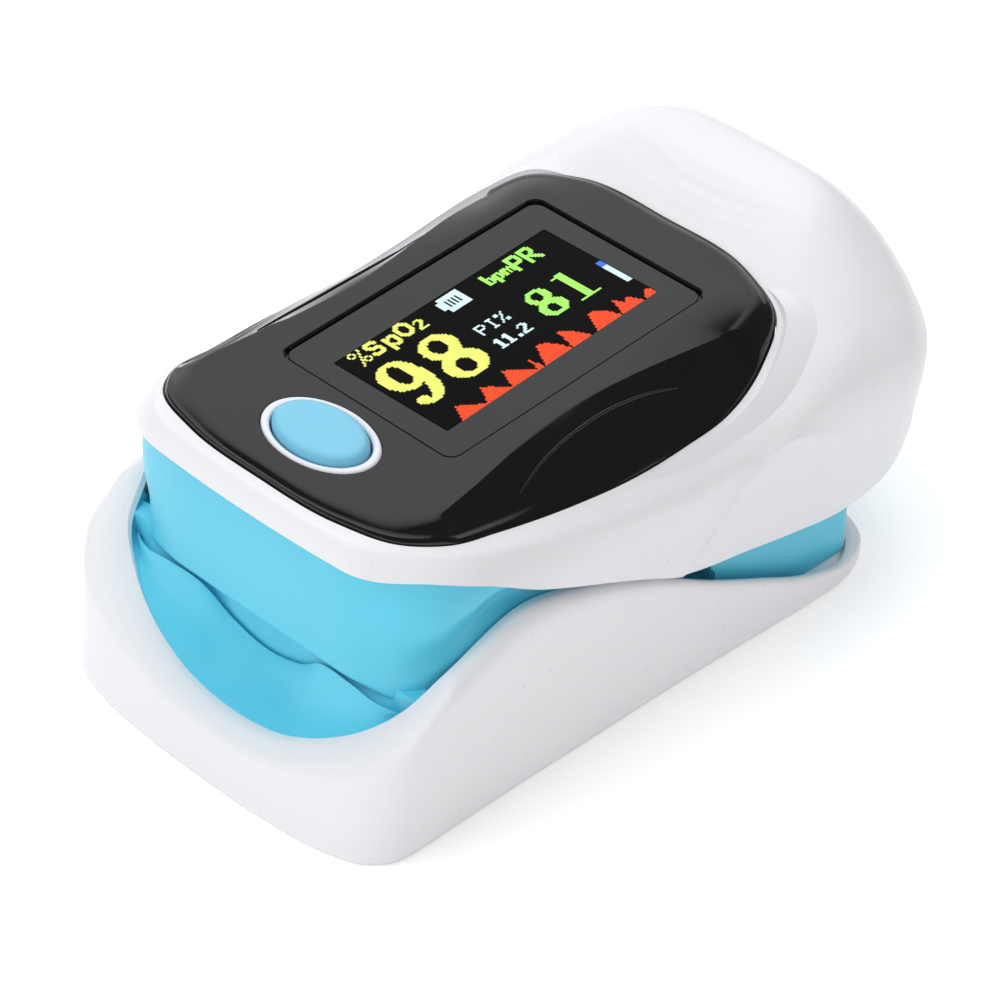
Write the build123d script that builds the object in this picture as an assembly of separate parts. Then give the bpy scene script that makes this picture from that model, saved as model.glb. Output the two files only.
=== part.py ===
from build123d import *
import math
import os

# Fingertip pulse oximeter, clothes-peg layout.
# Row frame: X across, -Y is the finger end, +Y is the squeeze end, Z up, origin on the table
# under the middle of the body.  All sizes are in millimetres.

# ---------------------------------------------------------------- driving dimensions
WALL = 1.3                  # moulded wall thickness
GAP = 0.15                  # assembly gap between moulded parts

HINGE_Y = 1.5               # pivot line of the two halves
HINGE_Z = 11.0
PIN_R = 1.0
PIN_CLEARANCE = 0.05        # radial running clearance of the pin in the upper ears

LENS_Y = -0.3               # reference point of the lens plane, at the display's centre
LENS_Z = 25.75
LENS_TILT = 2.2             # degrees, the rear is higher
LENS_THICK = 1.7
LEDGE = 0.8                 # thickness of the ledge that the lens sits on
LENS_PLACE = Pos(0, LENS_Y, LENS_Z) * Rot(LENS_TILT, 0, 0)

DISPLAY_X = 11.8            # active area of the screen
DISPLAY_Y = 22.4
BUTTON_Y = -17.9            # button centre, measured from the display's centre
BUTTON_A = 4.3              # semi-axes of the oval button
BUTTON_B = 2.65
BUTTON_TRAVEL = 0.4
BEZEL_A = 5.25              # semi-axes of the oval collar round the button
BEZEL_B = 3.35

CELL_R = 5.2                # AAA cell
CELL_LENGTH = 44.5
CELL_X = 5.6                # each cell's distance from the middle plane
CELL_Z = 6.6
CELL_BAY_R = 5.42
BAY_FRONT = -22.9           # battery bay, end to end
BAY_REAR = 24.0
SPRING_GAP = 1.8            # length of a compressed contact spring
PLATE_THICK = 0.3

COVER_THICK = 1.1
COVER_HALF = 12.0
COVER_FRONT = -20.0

MOUTH_TOP = 11.7            # straight upper edge of the finger slot
MOUTH_R = 8.75              # round lower edge of the finger slot
MOUTH_BOTTOM = 8.2
SENSOR_Y = -8.0             # optical axis of the finger sensor
CHAMBER_TOP = 17.8          # underside of the upper housing's ceiling
CEILING = 1.0
TROUGH_R = 14.0             # radius of the finger trough
TROUGH_Z = 11.6             # lowest line of the trough
FINGER_END = 4.0            # rear end of the finger pads

PCB_DROP = 3.9              # board's top face below the lens plane
PCB_THICK = 1.0
SCREW_R = 0.8
SCREW_HEAD_R = 1.5
SCREW_HEAD_TALL = 0.8


# ---------------------------------------------------------------- shared shapes
def end_line(start, end, bow):
    """The line across one end, bowed outwards when bow isn't zero."""
    if bow:
        return ThreePointArc(start, (0, start[1] + bow), end)
    return Line(start, end)


def outline(z, front, rear, half_front, half_rear, r_front, r_rear, bow_front, bow_rear):
    """Tapered plan outline at height z: bowed ends, straight sides and rounded corners."""
    front_left, front_right = (-half_front, front), (half_front, front)
    rear_left, rear_right = (-half_rear, rear), (half_rear, rear)
    edges = [
        end_line(front_left, front_right, -bow_front),
        Line(front_right, rear_right),
        end_line(rear_right, rear_left, bow_rear),
        Line(rear_left, front_left),
    ]
    face = make_face(edges)
    face = fillet(face.vertices().sort_by(Axis.Y)[:2], r_front)
    face = fillet(face.vertices().sort_by(Axis.Y)[-2:], r_rear)
    return Pos(0, 0, z) * face


def side_slab(edges, half_width):
    """A closed outline drawn in (y, z), extruded to both sides of the middle plane."""
    return extrude(Plane.YZ * make_face(edges), amount=half_width, both=True)


def slab(x_range, y_range, z_range):
    """An upright block between three pairs of limits."""
    low = (x_range[0], y_range[0], z_range[0])
    size = (x_range[1] - x_range[0], y_range[1] - y_range[0], z_range[1] - z_range[0])
    return Pos(*low) * Box(*size, align=(Align.MIN, Align.MIN, Align.MIN))


def cross_rod(x, y, z, radius, length):
    """A round bar along X, centred on x."""
    return Pos(x, y, z) * Rot(0, 90, 0) * Cylinder(radius, length)


def long_rod(x, y_range, z, radius):
    """A round bar along Y between two limits."""
    middle = (y_range[0] + y_range[1]) / 2
    return Pos(x, middle, z) * Rot(90, 0, 0) * Cylinder(radius, y_range[1] - y_range[0])


def both_sides(solid):
    """The solid together with its mirror image across the middle plane."""
    return solid + mirror(solid, about=Plane.YZ)


def lens_z(y):
    """Height of the lens plane at y."""
    return LENS_Z + (y - LENS_Y) * math.tan(math.radians(LENS_TILT))


# ---------------------------------------------------------------- upper half, outer form
# Levels of the upper body: z, front, rear, half width in front, half width behind, corner radii.
UPPER_LEVELS = (
    (7.0, -24.9, 28.2, 16.6, 18.7, 6.8, 6.5),
    (14.0, -25.1, 28.9, 16.9, 19.4, 6.8, 6.2),
    (20.0, -25.1, 28.9, 16.8, 18.9, 6.8, 6.2),
    (24.0, -24.3, 28.7, 15.6, 17.0, 6.6, 6.5),
    (27.0, -22.8, 28.0, 12.3, 14.6, 6.0, 6.8),
    (31.0, -19.8, 25.4, 7.6, 10.6, 5.0, 6.0),
)
UPPER_BOW_FRONT = 0.9
UPPER_BOW_REAR = 1.8

# Lower edge of the upper shell in (y, z), front to rear.
UPPER_EDGE = (
    (-27.0, 22.2), (-22.0, 22.4), (-19.3, 21.5), (-12.6, 18.0), (-2.9, 13.3), (2.6, 10.6),
    (9.1, 9.2), (14.0, 8.6), (19.6, 8.8), (25.2, 11.4), (28.0, 14.2), (31.5, 16.4),
)
HUMP_Y = 25.6               # centre of the roll-over at the rear of the upper shell
HUMP_Z = 24.6
HUMP_R = 5.0
HUMP_FOOT = 17.0            # where the hump leaves the lens plane


def upper_levels(inset):
    """Loft of the upper levels, drawn in from the outside by inset."""
    sections = []
    for z, front, rear, half_front, half_rear, r_front, r_rear in UPPER_LEVELS:
        sections.append(outline(
            z, front + inset, rear - inset, half_front - inset, half_rear - inset,
            r_front - inset, r_rear - inset, UPPER_BOW_FRONT, UPPER_BOW_REAR))
    return loft(sections)


def upper_profile(inset, follow_edge):
    """Side view of the upper half, as a slab; follow_edge cuts it along the lower edge."""
    radius = HUMP_R - inset
    crest = (HUMP_Y, HUMP_Z + radius)
    back = (HUMP_Y + radius, HUMP_Z)
    diagonal = radius * math.sqrt(0.5)
    shoulder = (-24.2, lens_z(-24.2) - inset)
    foot = (HUMP_FOOT, lens_z(HUMP_FOOT) - inset)
    nose = (UPPER_EDGE[0][0], 22.9 - inset)
    bottom_rear = (back[0], UPPER_EDGE[-1][1])
    if follow_edge:
        bottom = [Spline(*UPPER_EDGE[:-1], bottom_rear)]
        start = UPPER_EDGE[0]
    else:
        start = (UPPER_EDGE[0][0], 7.5)
        bottom_rear = (back[0], 7.5)
        bottom = [Line(start, bottom_rear)]
    edges = bottom + [
        Line(bottom_rear, back),
        ThreePointArc(back, (HUMP_Y + diagonal, HUMP_Z + diagonal), crest),
        Spline(crest, foot, tangents=[(-1, 0), (-1, -math.tan(math.radians(LENS_TILT)))]),
        Line(foot, shoulder),
        Line(shoulder, nose),
        Line(nose, start),
    ]
    return side_slab(edges, 25)


def upper_form(inset, follow_edge=False):
    """The upper half's outer body, drawn in by inset."""
    return upper_levels(inset) & upper_profile(inset, follow_edge)


# Right half of the lens outline, measured from the display's centre in the lens plane.
LENS_HALF = (
    (0, -23.9), (7.7, -23.3), (13.1, -20.5), (14.9, -14.9), (16.5, -4.0),
    (16.9, 4.0), (15.5, 12.0), (9.6, 18.1), (0, 18.9),
)


def lens_face(inset):
    """Lens outline drawn in by inset along its length and width, in the lens's own plane."""
    half_width = max(x for x, y in LENS_HALF)
    front, rear = LENS_HALF[0][1], LENS_HALF[-1][1]
    middle = (front + rear) / 2
    scale_x = 1 - inset / half_width
    scale_y = 1 - inset / (rear - middle)
    right = [(x * scale_x, middle + (y - middle) * scale_y) for x, y in LENS_HALF]
    left = [(-x, y) for x, y in reversed(right[1:-1])]
    return make_face([Spline(*right, *left, periodic=True)])


def lens_column(inset):
    """The lens outline as an upright column through the top of the body."""
    return LENS_PLACE * Pos(0, 0, -9) * extrude(lens_face(inset), amount=12)


# Lower edge of the lens in (y, z): the flanks reach further down than the two ends.
LENS_SKIRT = ((-26.0, 23.4), (-21.0, 22.8), (-16.0, 21.4), (-4.0, 19.9), (6.0, 19.9), (12.0, 21.3), (22.0, 25.2))


def above_skirt(drop):
    """Everything above the lens's lower edge, lowered by drop."""
    line = [(y, z - drop) for y, z in LENS_SKIRT]
    start, end = line[0], line[-1]
    edges = [Line(a, b) for a, b in zip(line[:-1], line[1:])]
    edges += [Line(end, (end[0], 35)), Line((end[0], 35), (start[0], 35)), Line((start[0], 35), start)]
    return side_slab(edges, 25)


def screen_block(half_x, half_y, top, bottom):
    """A block over the screen, between two depths below the lens plane."""
    return LENS_PLACE * slab((-half_x, half_x), (-half_y, half_y), (-bottom, -top))


def oval(a, b, top, bottom):
    """An upright oval bar at the button, between two depths below the lens plane."""
    face = Ellipse(a, b)
    return LENS_PLACE * Pos(0, BUTTON_Y, -bottom) * extrude(face, amount=bottom - top)


# ---------------------------------------------------------------- upper half
UPPER_SCREWS = ((-10.6, -18.6), (10.6, -18.6), (-11.9, 13.7), (11.9, 13.7))


def make_top_shell(outer):
    """White shell: outer wall, ledge under the lens and the screw posts of the upper half."""
    shell = outer - upper_form(WALL)
    ledge = upper_form(WALL - 0.3) - upper_form(LENS_THICK + LEDGE)
    ledge = ledge & (lens_column(-1.2) - lens_column(1.6)) & above_skirt(LEDGE)
    shell = shell + (ledge & outer)
    for x, y in UPPER_SCREWS:
        post = Pos(x, y, CHAMBER_TOP + CEILING + GAP) * extrude(Circle(1.9), amount=9)
        shell = shell + (post & upper_form(WALL))
    seat = (lens_column(-0.05) - upper_form(LENS_THICK + 0.05)) & above_skirt(0.05)
    shell = shell - seat
    for x, y in UPPER_SCREWS:
        shell = shell - Pos(x, y, CHAMBER_TOP) * extrude(Circle(SCREW_R - 0.1), amount=5.0)
    return shell


def make_lens(outer):
    lens = ((outer & lens_column(0)) - upper_form(LENS_THICK)) & above_skirt(0)
    lens = lens - screen_block(DISPLAY_X / 2 + 0.1, DISPLAY_Y / 2 + 0.1, -3, 9)
    lens = lens - screen_block(8.6, 13.5, -3, 0.25)
    return lens - oval(BEZEL_A + 0.05, BEZEL_B + 0.05, -3, 9)


def make_window():
    return screen_block(DISPLAY_X / 2, DISPLAY_Y / 2, 0.3, LENS_THICK)


def make_bezel():
    collar = oval(BEZEL_A, BEZEL_B, -0.1, LENS_THICK)
    return collar - oval(BUTTON_A + 0.15, BUTTON_B + 0.15, -1, LENS_THICK + 1)


def make_button():
    cap = oval(BUTTON_A, BUTTON_B, -0.75, LENS_THICK + 0.1)
    cap = fillet(cap.edges().sort_by(Axis.Z)[-1:], 0.45)
    flange = oval(BUTTON_A + 0.7, BUTTON_B + 0.6, LENS_THICK + 0.05, LENS_THICK + 0.35)
    return cap + flange


def make_gasket():
    ring = screen_block(9.4, 12.6, LENS_THICK + 0.2, LENS_THICK + 0.45)
    return ring - screen_block(6.6, 11.7, 0, 4)


def make_oled():
    return screen_block(9.6, 12.8, LENS_THICK + 0.5, LENS_THICK + 1.9)


def make_pcb():
    board = LENS_PLACE * Pos(0, -3.2, -PCB_DROP - PCB_THICK) * extrude(
        RectangleRounded(24, 36, 2), amount=PCB_THICK)
    for x, y in UPPER_SCREWS:
        board = board - Pos(x, y, 15) * extrude(Circle(2.2), amount=12)
    return board


def make_tact_switch():
    body = LENS_PLACE * Pos(0, BUTTON_Y, -PCB_DROP) * extrude(Rectangle(5.0, 3.4), amount=1.1)
    return body - oval(1.35, 0.85, 0, PCB_DROP - 0.5)


def make_switch_plunger():
    return oval(1.3, 0.8, LENS_THICK + 0.35, PCB_DROP - 0.5 - BUTTON_TRAVEL - 0.05)


def board_chip(x, y, width, length, height):
    """A package soldered to the underside of the main board."""
    place = LENS_PLACE * Pos(x, y, -PCB_DROP - PCB_THICK - height)
    return place * extrude(Rectangle(width, length), amount=height)


def make_chip_parts():
    parts = [board_chip(7.0, y, 1.0, 0.6, 0.5) for y in (-14, -12.5, -11, 4, 5.5)]
    parts += [board_chip(-7.0, y, 0.8, 1.6, 0.6) for y in (-13, -10.5, 2, 4.5)]
    return Compound(parts)


def make_upper_housing():
    """Blue inner housing of the upper half: front wall, side walls, ceiling and hinge ears."""
    wall = 1.4
    front, rear = -23.8, -2.4
    plan = extrude(outline(9.0, front, rear, 15.0, 15.6, 4.6, 0.5, 0.85, 0), amount=16)
    hollow = extrude(outline(8.0, front + wall, rear + 9, 15.0 - wall, 15.8 - wall, 3.2, 1, 0.85, 0), amount=20)
    body = (plan - hollow) & upper_levels(WALL + GAP)
    low = 10.6
    reach = slab((-20, 20), (-26, rear), (low, 19.0)) + slab((-20, 20), (-26, -13), (low, 20.0))
    reach = reach + slab((-10, 10), (-26, -22), (low, 22.0))
    walls = body & reach
    skirt = body & slab((-20, 20), (-19, rear), (9.4, low + 0.1))
    walls = walls + skirt - slab((-7.2, 7.2), (-26, -22), (5, MOUTH_TOP))
    ceiling = extrude(outline(CHAMBER_TOP, front + 0.3, 16.0, 15.1, 15.6, 4.4, 3, 0.85, 0), amount=CEILING)
    ceiling = ceiling & upper_form(WALL + GAP)
    ceiling = ceiling - slab((-4.5, 4.5), (SENSOR_Y - 3, SENSOR_Y + 3), (10, 22))
    ceiling = ceiling - slab((-3.2, 3.2), (9.5, 20), (10, 22))
    for x, y in UPPER_SCREWS:
        ceiling = ceiling - Pos(x, y, 15) * extrude(Circle(SCREW_R + 0.15), amount=8)
    ear = cross_rod(12.95, HINGE_Y, HINGE_Z, 3.0, 1.1)
    arm = slab((12.4, 13.5), (HINGE_Y - 4.5, HINGE_Y + 3.0), (HINGE_Z, CHAMBER_TOP + 0.2))
    bridge = slab((12.4, 14.3), (HINGE_Y - 5.0, HINGE_Y - 3.2), (HINGE_Z - 0.6, CHAMBER_TOP + 0.2))
    ears = both_sides(ear + arm + bridge)
    bores = cross_rod(0, HINGE_Y, HINGE_Z, PIN_R + PIN_CLEARANCE, 40)
    return walls + ceiling + (ears & upper_form(WALL + GAP)) - bores


def make_upper_pad():
    pad = slab((-12.2, 12.2), (-21.2, FINGER_END - 1.5), (14.6, CHAMBER_TOP - 0.05))
    middle = slab((-4.5, 4.5), (-30, 10), (10, 17.15))
    channel = long_rod(0, (-30, 10), 17.15 - 13.0, 13.0)
    pad = pad - channel - middle
    for x, y in UPPER_SCREWS:
        pad = pad - Pos(x, y, 10) * extrude(Circle(SCREW_HEAD_R + 0.2), amount=12)
    return pad - slab((-3.6, 3.6), (SENSOR_Y - 2.6, SENSOR_Y + 2.6), (10, 20))


def make_emitter_board():
    base = CHAMBER_TOP + CEILING + 0.05
    return slab((-6, 6), (SENSOR_Y - 4, SENSOR_Y + 4), (base, base + 0.6))


def make_emitter_led():
    return slab((-1.6, 1.6), (SENSOR_Y - 1.4, SENSOR_Y + 1.4), (CHAMBER_TOP + 0.05, CHAMBER_TOP + CEILING))


def make_emitter_window():
    return slab((-3.5, 3.5), (SENSOR_Y - 2.5, SENSOR_Y + 2.5), (17.2, CHAMBER_TOP))


def screw(x, y, head_z, length):
    """A pan-head self-tapping screw driven upwards; head_z is the top of its head."""
    low = head_z - SCREW_HEAD_TALL
    head = Pos(x, y, low) * extrude(Circle(SCREW_HEAD_R - 0.1), amount=SCREW_HEAD_TALL)
    shank = Pos(x, y, head_z - 0.1) * extrude(Circle(SCREW_R - 0.15), amount=length)
    slot_a = Pos(x, y, low) * Box(1.6, 0.35, 0.7)
    slot_b = Pos(x, y, low) * Box(0.35, 1.6, 0.7)
    return head + shank - slot_a - slot_b


def make_upper_screws():
    return Compound([screw(x, y, CHAMBER_TOP - 0.02, 5.0) for x, y in UPPER_SCREWS])


# ---------------------------------------------------------------- lower half
LOWER_BOW_FRONT = 0.9
LOWER_BOW_REAR = 5.2
LOWER_REAR = 22.4           # rear corners of the base
LOWER_TAPER = 2.0           # the base is this much wider behind, on each side
LOWER_LEVELS = (            # z, front, half width in front, front corner radius
    (0.0, -29.6, 16.8, 5.0),
    (1.2, -29.9, 17.1, 5.0),
    (5.0, -29.5, 17.2, 5.0),
    (9.0, -28.7, 17.1, 5.0),
    (13.0, -26.8, 16.9, 4.6),
    (17.5, -22.6, 16.4, 3.8),
)
# Top edge of the lower shell's sides in (y, z), front to rear.
LOWER_EDGE = (
    (-31.5, 16.5), (-22.5, 16.3), (-14.1, 16.3), (-7.8, 14.9), (-1.2, 12.1),
    (5.7, 8.3), (11.0, 5.3), (16.6, 2.7), (21.0, 1.6), (29.0, 1.5),
)
# Half of the U-shaped cut in the front of the lower shell, in (x, z).
CUT_HALF = ((0, 5.0), (5.0, 5.6), (9.7, 7.5), (13.1, 9.8), (15.2, 12.0), (15.9, 15.0))


def lower_levels(inset):
    sections = []
    for z, front, half_front, r_front in LOWER_LEVELS:
        half_rear = half_front + LOWER_TAPER
        sections.append(outline(
            z, front + inset, LOWER_REAR - inset, half_front - inset, half_rear - inset,
            r_front - inset, 2.4, LOWER_BOW_FRONT, LOWER_BOW_REAR))
    return loft(sections)


def lower_side_profile(drop):
    """Everything below the side edge, lowered by drop."""
    top = [(y, z - drop) for y, z in LOWER_EDGE]
    start, end = top[0], top[-1]
    return side_slab([
        Spline(*top),
        Line(end, (end[0], -1)),
        Line((end[0], -1), (start[0], -1)),
        Line((start[0], -1), start),
    ], 25)


def front_cut(drop):
    """The U-shaped opening of the lower shell's front, lowered by drop."""
    right = [(x, z - drop) for x, z in CUT_HALF]
    left = [(-x, z) for x, z in reversed(right)]
    top = 24
    edges = [
        Spline(*left, *right[1:]),
        Line(right[-1], (right[-1][0], top)),
        Line((right[-1][0], top), (left[0][0], top)),
        Line((left[0][0], top), left[0]),
    ]
    face = Plane.XZ * make_face(edges)
    return Pos(0, -14, 0) * extrude(face, amount=22)


LOWER_SCREWS = ((-14.4, -16.0), (14.4, -16.0), (-14.6, 14.0), (14.6, 14.0))


def make_lower_shell(body):
    shell = body & lower_side_profile(0)
    shell = shell - front_cut(0)
    inside = lower_levels(WALL) & slab((-25, 25), (-40, 40), (COVER_THICK + 0.3, 25))
    shell = shell - inside
    opening = slab((-COVER_HALF - 0.1, COVER_HALF + 0.1), (COVER_FRONT - 0.1, 40), (-1, 5))
    rails = slab((-COVER_HALF - 0.6, COVER_HALF + 0.6), (COVER_FRONT + 1.5, 40), (0.45, 0.95))
    shell = shell - opening - rails
    for x, y in LOWER_SCREWS:
        shell = shell - Pos(x, y, -1) * extrude(Circle(SCREW_R + 0.1), amount=8)
        shell = shell - Pos(x, y, -1) * extrude(Circle(SCREW_HEAD_R), amount=1.9)
    return shell


def make_lower_housing():
    """Blue inner housing of the lower half: chin, finger trough, battery bay and rear block."""
    floor = COVER_THICK + 0.4
    inner = lower_levels(WALL + GAP)
    base = inner & slab((-25, 25), (-40, 6.5), (floor, 8.0))
    taper = extrude(outline(floor, -22.6, 22.3, 15.4, 17.1, 2, 2.0, 0, LOWER_BOW_REAR - 0.9), amount=15)
    rear_block = taper & slab((-25, 25), (6.5, 40), (floor, 12.3))
    top = [
        Line((-22.4, floor), (-22.4, 12.4)),
        Line((-22.4, 12.4), (-21.0, 13.6)),
        Line((-21.0, 13.6), (FINGER_END + 1.5, 13.6)),
        Line((FINGER_END + 1.5, 13.6), (FINGER_END + 3.5, 12.7)),
        Line((FINGER_END + 3.5, 12.7), (24.0, 12.7)),
        Line((24.0, 12.7), (24.0, floor)),
        Line((24.0, floor), (-22.4, floor)),
    ]
    tray = side_slab(top, 13.0) & extrude(outline(0, -21.6, 30, 13.0, 13.0, 3.4, 1, 0.8, 0), amount=20)
    chin_plan = inner & slab((-25, 25), (-40, -22.4), (floor, 14))
    chin_top = [
        Line((-31, 3.4), (-23.4, 11.0)),
        Line((-23.4, 11.0), (-22.0, 11.0)),
        Line((-22.0, 11.0), (-22.0, 0)),
        Line((-22.0, 0), (-31, 0)),
        Line((-31, 0), (-31, 3.4)),
    ]
    chin = chin_plan & side_slab(chin_top, 25)
    chin = chin - both_sides(slab((7.0, 25), (-40, -20), (10.2, 20)))
    side_drop = slab((13.3, 25), (-22.0, 6.0), (7.6, 20))
    hinge_pocket = slab((12.25, 25), (HINGE_Y - 5.6, HINGE_Y + 4.9), (6.9, 20))
    housing = base + rear_block + tray + chin
    housing = housing - both_sides(side_drop) - both_sides(hinge_pocket)
    boss = slab((14.85, 15.45), (HINGE_Y - 2.2, HINGE_Y + 2.2), (6.5, HINGE_Z))
    boss = boss + cross_rod(15.15, HINGE_Y, HINGE_Z, 2.2, 0.6)
    housing = housing + both_sides(boss)
    trough = long_rod(0, (-22.8, FINGER_END + 2), TROUGH_Z + TROUGH_R, TROUGH_R)
    mouth = long_rod(0, (-27.0, -23.6), MOUTH_BOTTOM + MOUTH_R, MOUTH_R)
    housing = housing - trough - mouth
    housing = housing - battery_bay(floor)
    housing = housing - cross_rod(0, HINGE_Y, HINGE_Z, PIN_R, 40)
    housing = housing - slab((-3.6, 3.6), (SENSOR_Y - 2.6, SENSOR_Y + 2.6), (11.86, 16))
    housing = housing - slab((-2.1, 2.1), (SENSOR_Y - 4.1, SENSOR_Y + 4.1), (10.9, 16))
    for x, y in LOWER_SCREWS:
        housing = housing - Pos(x, y, 0) * extrude(Circle(SCREW_R - 0.1), amount=6.6)
    return housing


def battery_bay(floor):
    """Space for the two cells and their contacts."""
    bores = both_sides(long_rod(CELL_X, (BAY_FRONT + 0.7, BAY_REAR), CELL_Z, CELL_BAY_R))
    lower = slab((-CELL_X - CELL_BAY_R, CELL_X + CELL_BAY_R), (BAY_FRONT + 0.7, BAY_REAR), (floor - 1, CELL_Z))
    front_slot = slab((-10.4, 10.4), (BAY_FRONT, BAY_FRONT + 0.8), (floor - 1, 10.2))
    rear_slot = slab((-10.4, 10.4), (BAY_REAR - 0.6, BAY_REAR), (floor - 1, 8.3))
    return bores + lower + front_slot + rear_slot


def make_cell(x, nub_forward):
    """AAA cell along Y; its positive nub points forward or back."""
    nub = 1.0
    if nub_forward:
        front = BAY_FRONT + PLATE_THICK + 0.02
        can = long_rod(x, (front + nub, front + CELL_LENGTH), CELL_Z, CELL_R)
        tip = long_rod(x, (front, front + nub), CELL_Z, 1.9)
    else:
        front = BAY_REAR - PLATE_THICK - 0.02 - CELL_LENGTH
        can = long_rod(x, (front, front + CELL_LENGTH - nub), CELL_Z, CELL_R)
        tip = long_rod(x, (front + CELL_LENGTH - nub, front + CELL_LENGTH), CELL_Z, 1.9)
    can = fillet(can.edges().filter_by(GeomType.CIRCLE), 0.4)
    return can + tip


def coil(x, y, z, radius, wire, length, turns, heading):
    """A round-wire coil whose axis starts at (x, y, z) and runs along heading."""
    path = Helix(pitch=length / turns, height=length, radius=radius)
    section = Plane(origin=path @ 0, z_dir=path % 0) * Circle(wire / 2)
    spring = sweep(section, path=path, is_frenet=True)
    return Pos(x, y, z) * heading * spring


def make_battery_springs():
    wire = 0.45
    gap = SPRING_GAP - wire - 0.06
    rear = coil(CELL_X, BAY_REAR - PLATE_THICK - wire / 2 - 0.03, CELL_Z, 3.0, wire, gap, 2, Rot(90, 0, 0))
    front = coil(-CELL_X, BAY_FRONT + PLATE_THICK + wire / 2 + 0.03, CELL_Z, 3.0, wire, gap, 2, Rot(-90, 0, 0))
    return Compound([rear, front])


def make_link_plate():
    return slab((-10.2, 10.2), (BAY_REAR - PLATE_THICK, BAY_REAR - 0.01), (CELL_Z - 3.6, CELL_Z + 1.5))


def make_terminal_plates():
    plate = slab((1.4, 10.0), (BAY_FRONT + 0.01, BAY_FRONT + PLATE_THICK), (CELL_Z - 3.8, CELL_Z + 3.4))
    return Compound([plate, mirror(plate, about=Plane.YZ)])


def make_lower_pad():
    sheet = long_rod(0, (-20.8, FINGER_END), TROUGH_Z + TROUGH_R, TROUGH_R - 0.05)
    sheet = sheet - long_rod(0, (-40, 30), TROUGH_Z + TROUGH_R, TROUGH_R - 0.7)
    sheet = sheet & slab((-7.2, 7.2), (-30, 30), (8, 14.2))
    return sheet - slab((-3.6, 3.6), (SENSOR_Y - 2.6, SENSOR_Y + 2.6), (8, 20))


def make_photodiode_board():
    return slab((-2.0, 2.0), (SENSOR_Y - 4.0, SENSOR_Y + 4.0), (10.92, 11.22))


def make_photodiode():
    return slab((-1.4, 1.4), (SENSOR_Y - 1.4, SENSOR_Y + 1.4), (11.24, 11.84))


def make_photodiode_window():
    return slab((-3.4, 3.4), (SENSOR_Y - 2.4, SENSOR_Y + 2.4), (11.9, 12.35))


def make_hinge_pins():
    pin = cross_rod(13.3, HINGE_Y, HINGE_Z, PIN_R, 4.2)
    return Compound([pin, mirror(pin, about=Plane.YZ)])


def torsion_spring():
    """One closing spring on the right-hand pin, with a leg towards each half."""
    wire = 0.35
    turns = 2
    pitch = 0.4
    radius = 1.75
    length = turns * pitch
    body = coil(13.8, HINGE_Y, HINGE_Z, radius, wire, length, turns, Rot(0, 90, 0))
    return body


def make_torsion_springs():
    spring = torsion_spring()
    return Compound([spring, mirror(spring, about=Plane.YZ)])


def make_lower_screws():
    return Compound([screw(x, y, 0.88, 4.8) for x, y in LOWER_SCREWS])


def make_flex_cable():
    """Ribbon from the lower sensor to the main board, with its loop behind the finger stop."""
    line = Spline((FINGER_END + 4.0, 12.85), (13.0, 13.4), (16.6, 16.0), (15.0, 19.0), (11.5, 20.1),
                  tangents=[(1, 0), (-1, 0.15)])
    path = Plane.YZ * Wire([line])
    start = Plane(origin=path @ 0, z_dir=path % 0, x_dir=(1, 0, 0))
    return sweep(start * Rectangle(5.0, 0.2), path=path)


def make_battery_cover(body):
    plate = body & slab((-COVER_HALF, COVER_HALF), (COVER_FRONT, 40), (-1, COVER_THICK))
    rails = body & slab((-COVER_HALF - 0.5, COVER_HALF + 0.5), (COVER_FRONT + 1.6, 22), (0.5, 0.9))
    ribs = [slab((-5, 5), (y, y + 0.6), (-1, 0.25)) for y in (14.0, 15.6, 17.2, 18.8)]
    for rib in ribs:
        plate = plate - rib
    return plate + rails


# ---------------------------------------------------------------- assembly
def build_nodes():
    outer = upper_form(0, follow_edge=True)
    lower_body = lower_levels(0)
    return {
        "top_shell": make_top_shell(outer),
        "lens_cover": make_lens(outer),
        "display_window": make_window(),
        "button_bezel": make_bezel(),
        "power_button": make_button(),
        "display_gasket": make_gasket(),
        "oled_panel": make_oled(),
        "main_pcb": make_pcb(),
        "tact_switch": make_tact_switch(),
        "switch_plunger": make_switch_plunger(),
        "mcu_chip": board_chip(0, -8.5, 7.0, 7.0, 0.9),
        "boost_inductor": board_chip(-1.5, 2.0, 4.0, 4.0, 1.0),
        "flex_connector": board_chip(0, 11.0, 7.0, 3.2, 0.9),
        "chip_parts": make_chip_parts(),
        "upper_housing": make_upper_housing(),
        "upper_finger_pad": make_upper_pad(),
        "emitter_board": make_emitter_board(),
        "emitter_led": make_emitter_led(),
        "emitter_window": make_emitter_window(),
        "upper_screws": make_upper_screws(),
        "lower_shell": make_lower_shell(lower_body),
        "lower_housing": make_lower_housing(),
        "lower_finger_pad": make_lower_pad(),
        "photodiode_board": make_photodiode_board(),
        "photodiode": make_photodiode(),
        "photodiode_window": make_photodiode_window(),
        "battery_right": make_cell(CELL_X, True),
        "battery_left": make_cell(-CELL_X, False),
        "battery_springs": make_battery_springs(),
        "battery_link_plate": make_link_plate(),
        "battery_terminal_plates": make_terminal_plates(),
        "hinge_pins": make_hinge_pins(),
        "torsion_springs": make_torsion_springs(),
        "flex_cable": make_flex_cable(),
        "lower_screws": make_lower_screws(),
        "battery_cover": make_battery_cover(lower_body),
    }


os.makedirs("parts", exist_ok=True)
nodes = build_nodes()
for name, shape in nodes.items():
    export_step(shape, "parts/" + name + ".step")
    box = shape.bounding_box()
    print(name, len(shape.solids()), round(shape.volume, 1), [round(v, 2) for v in (*box.min, *box.max)])
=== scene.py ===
import math

import bmesh
import bpy
import numpy as np
from mathutils import Matrix, Vector


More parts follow.
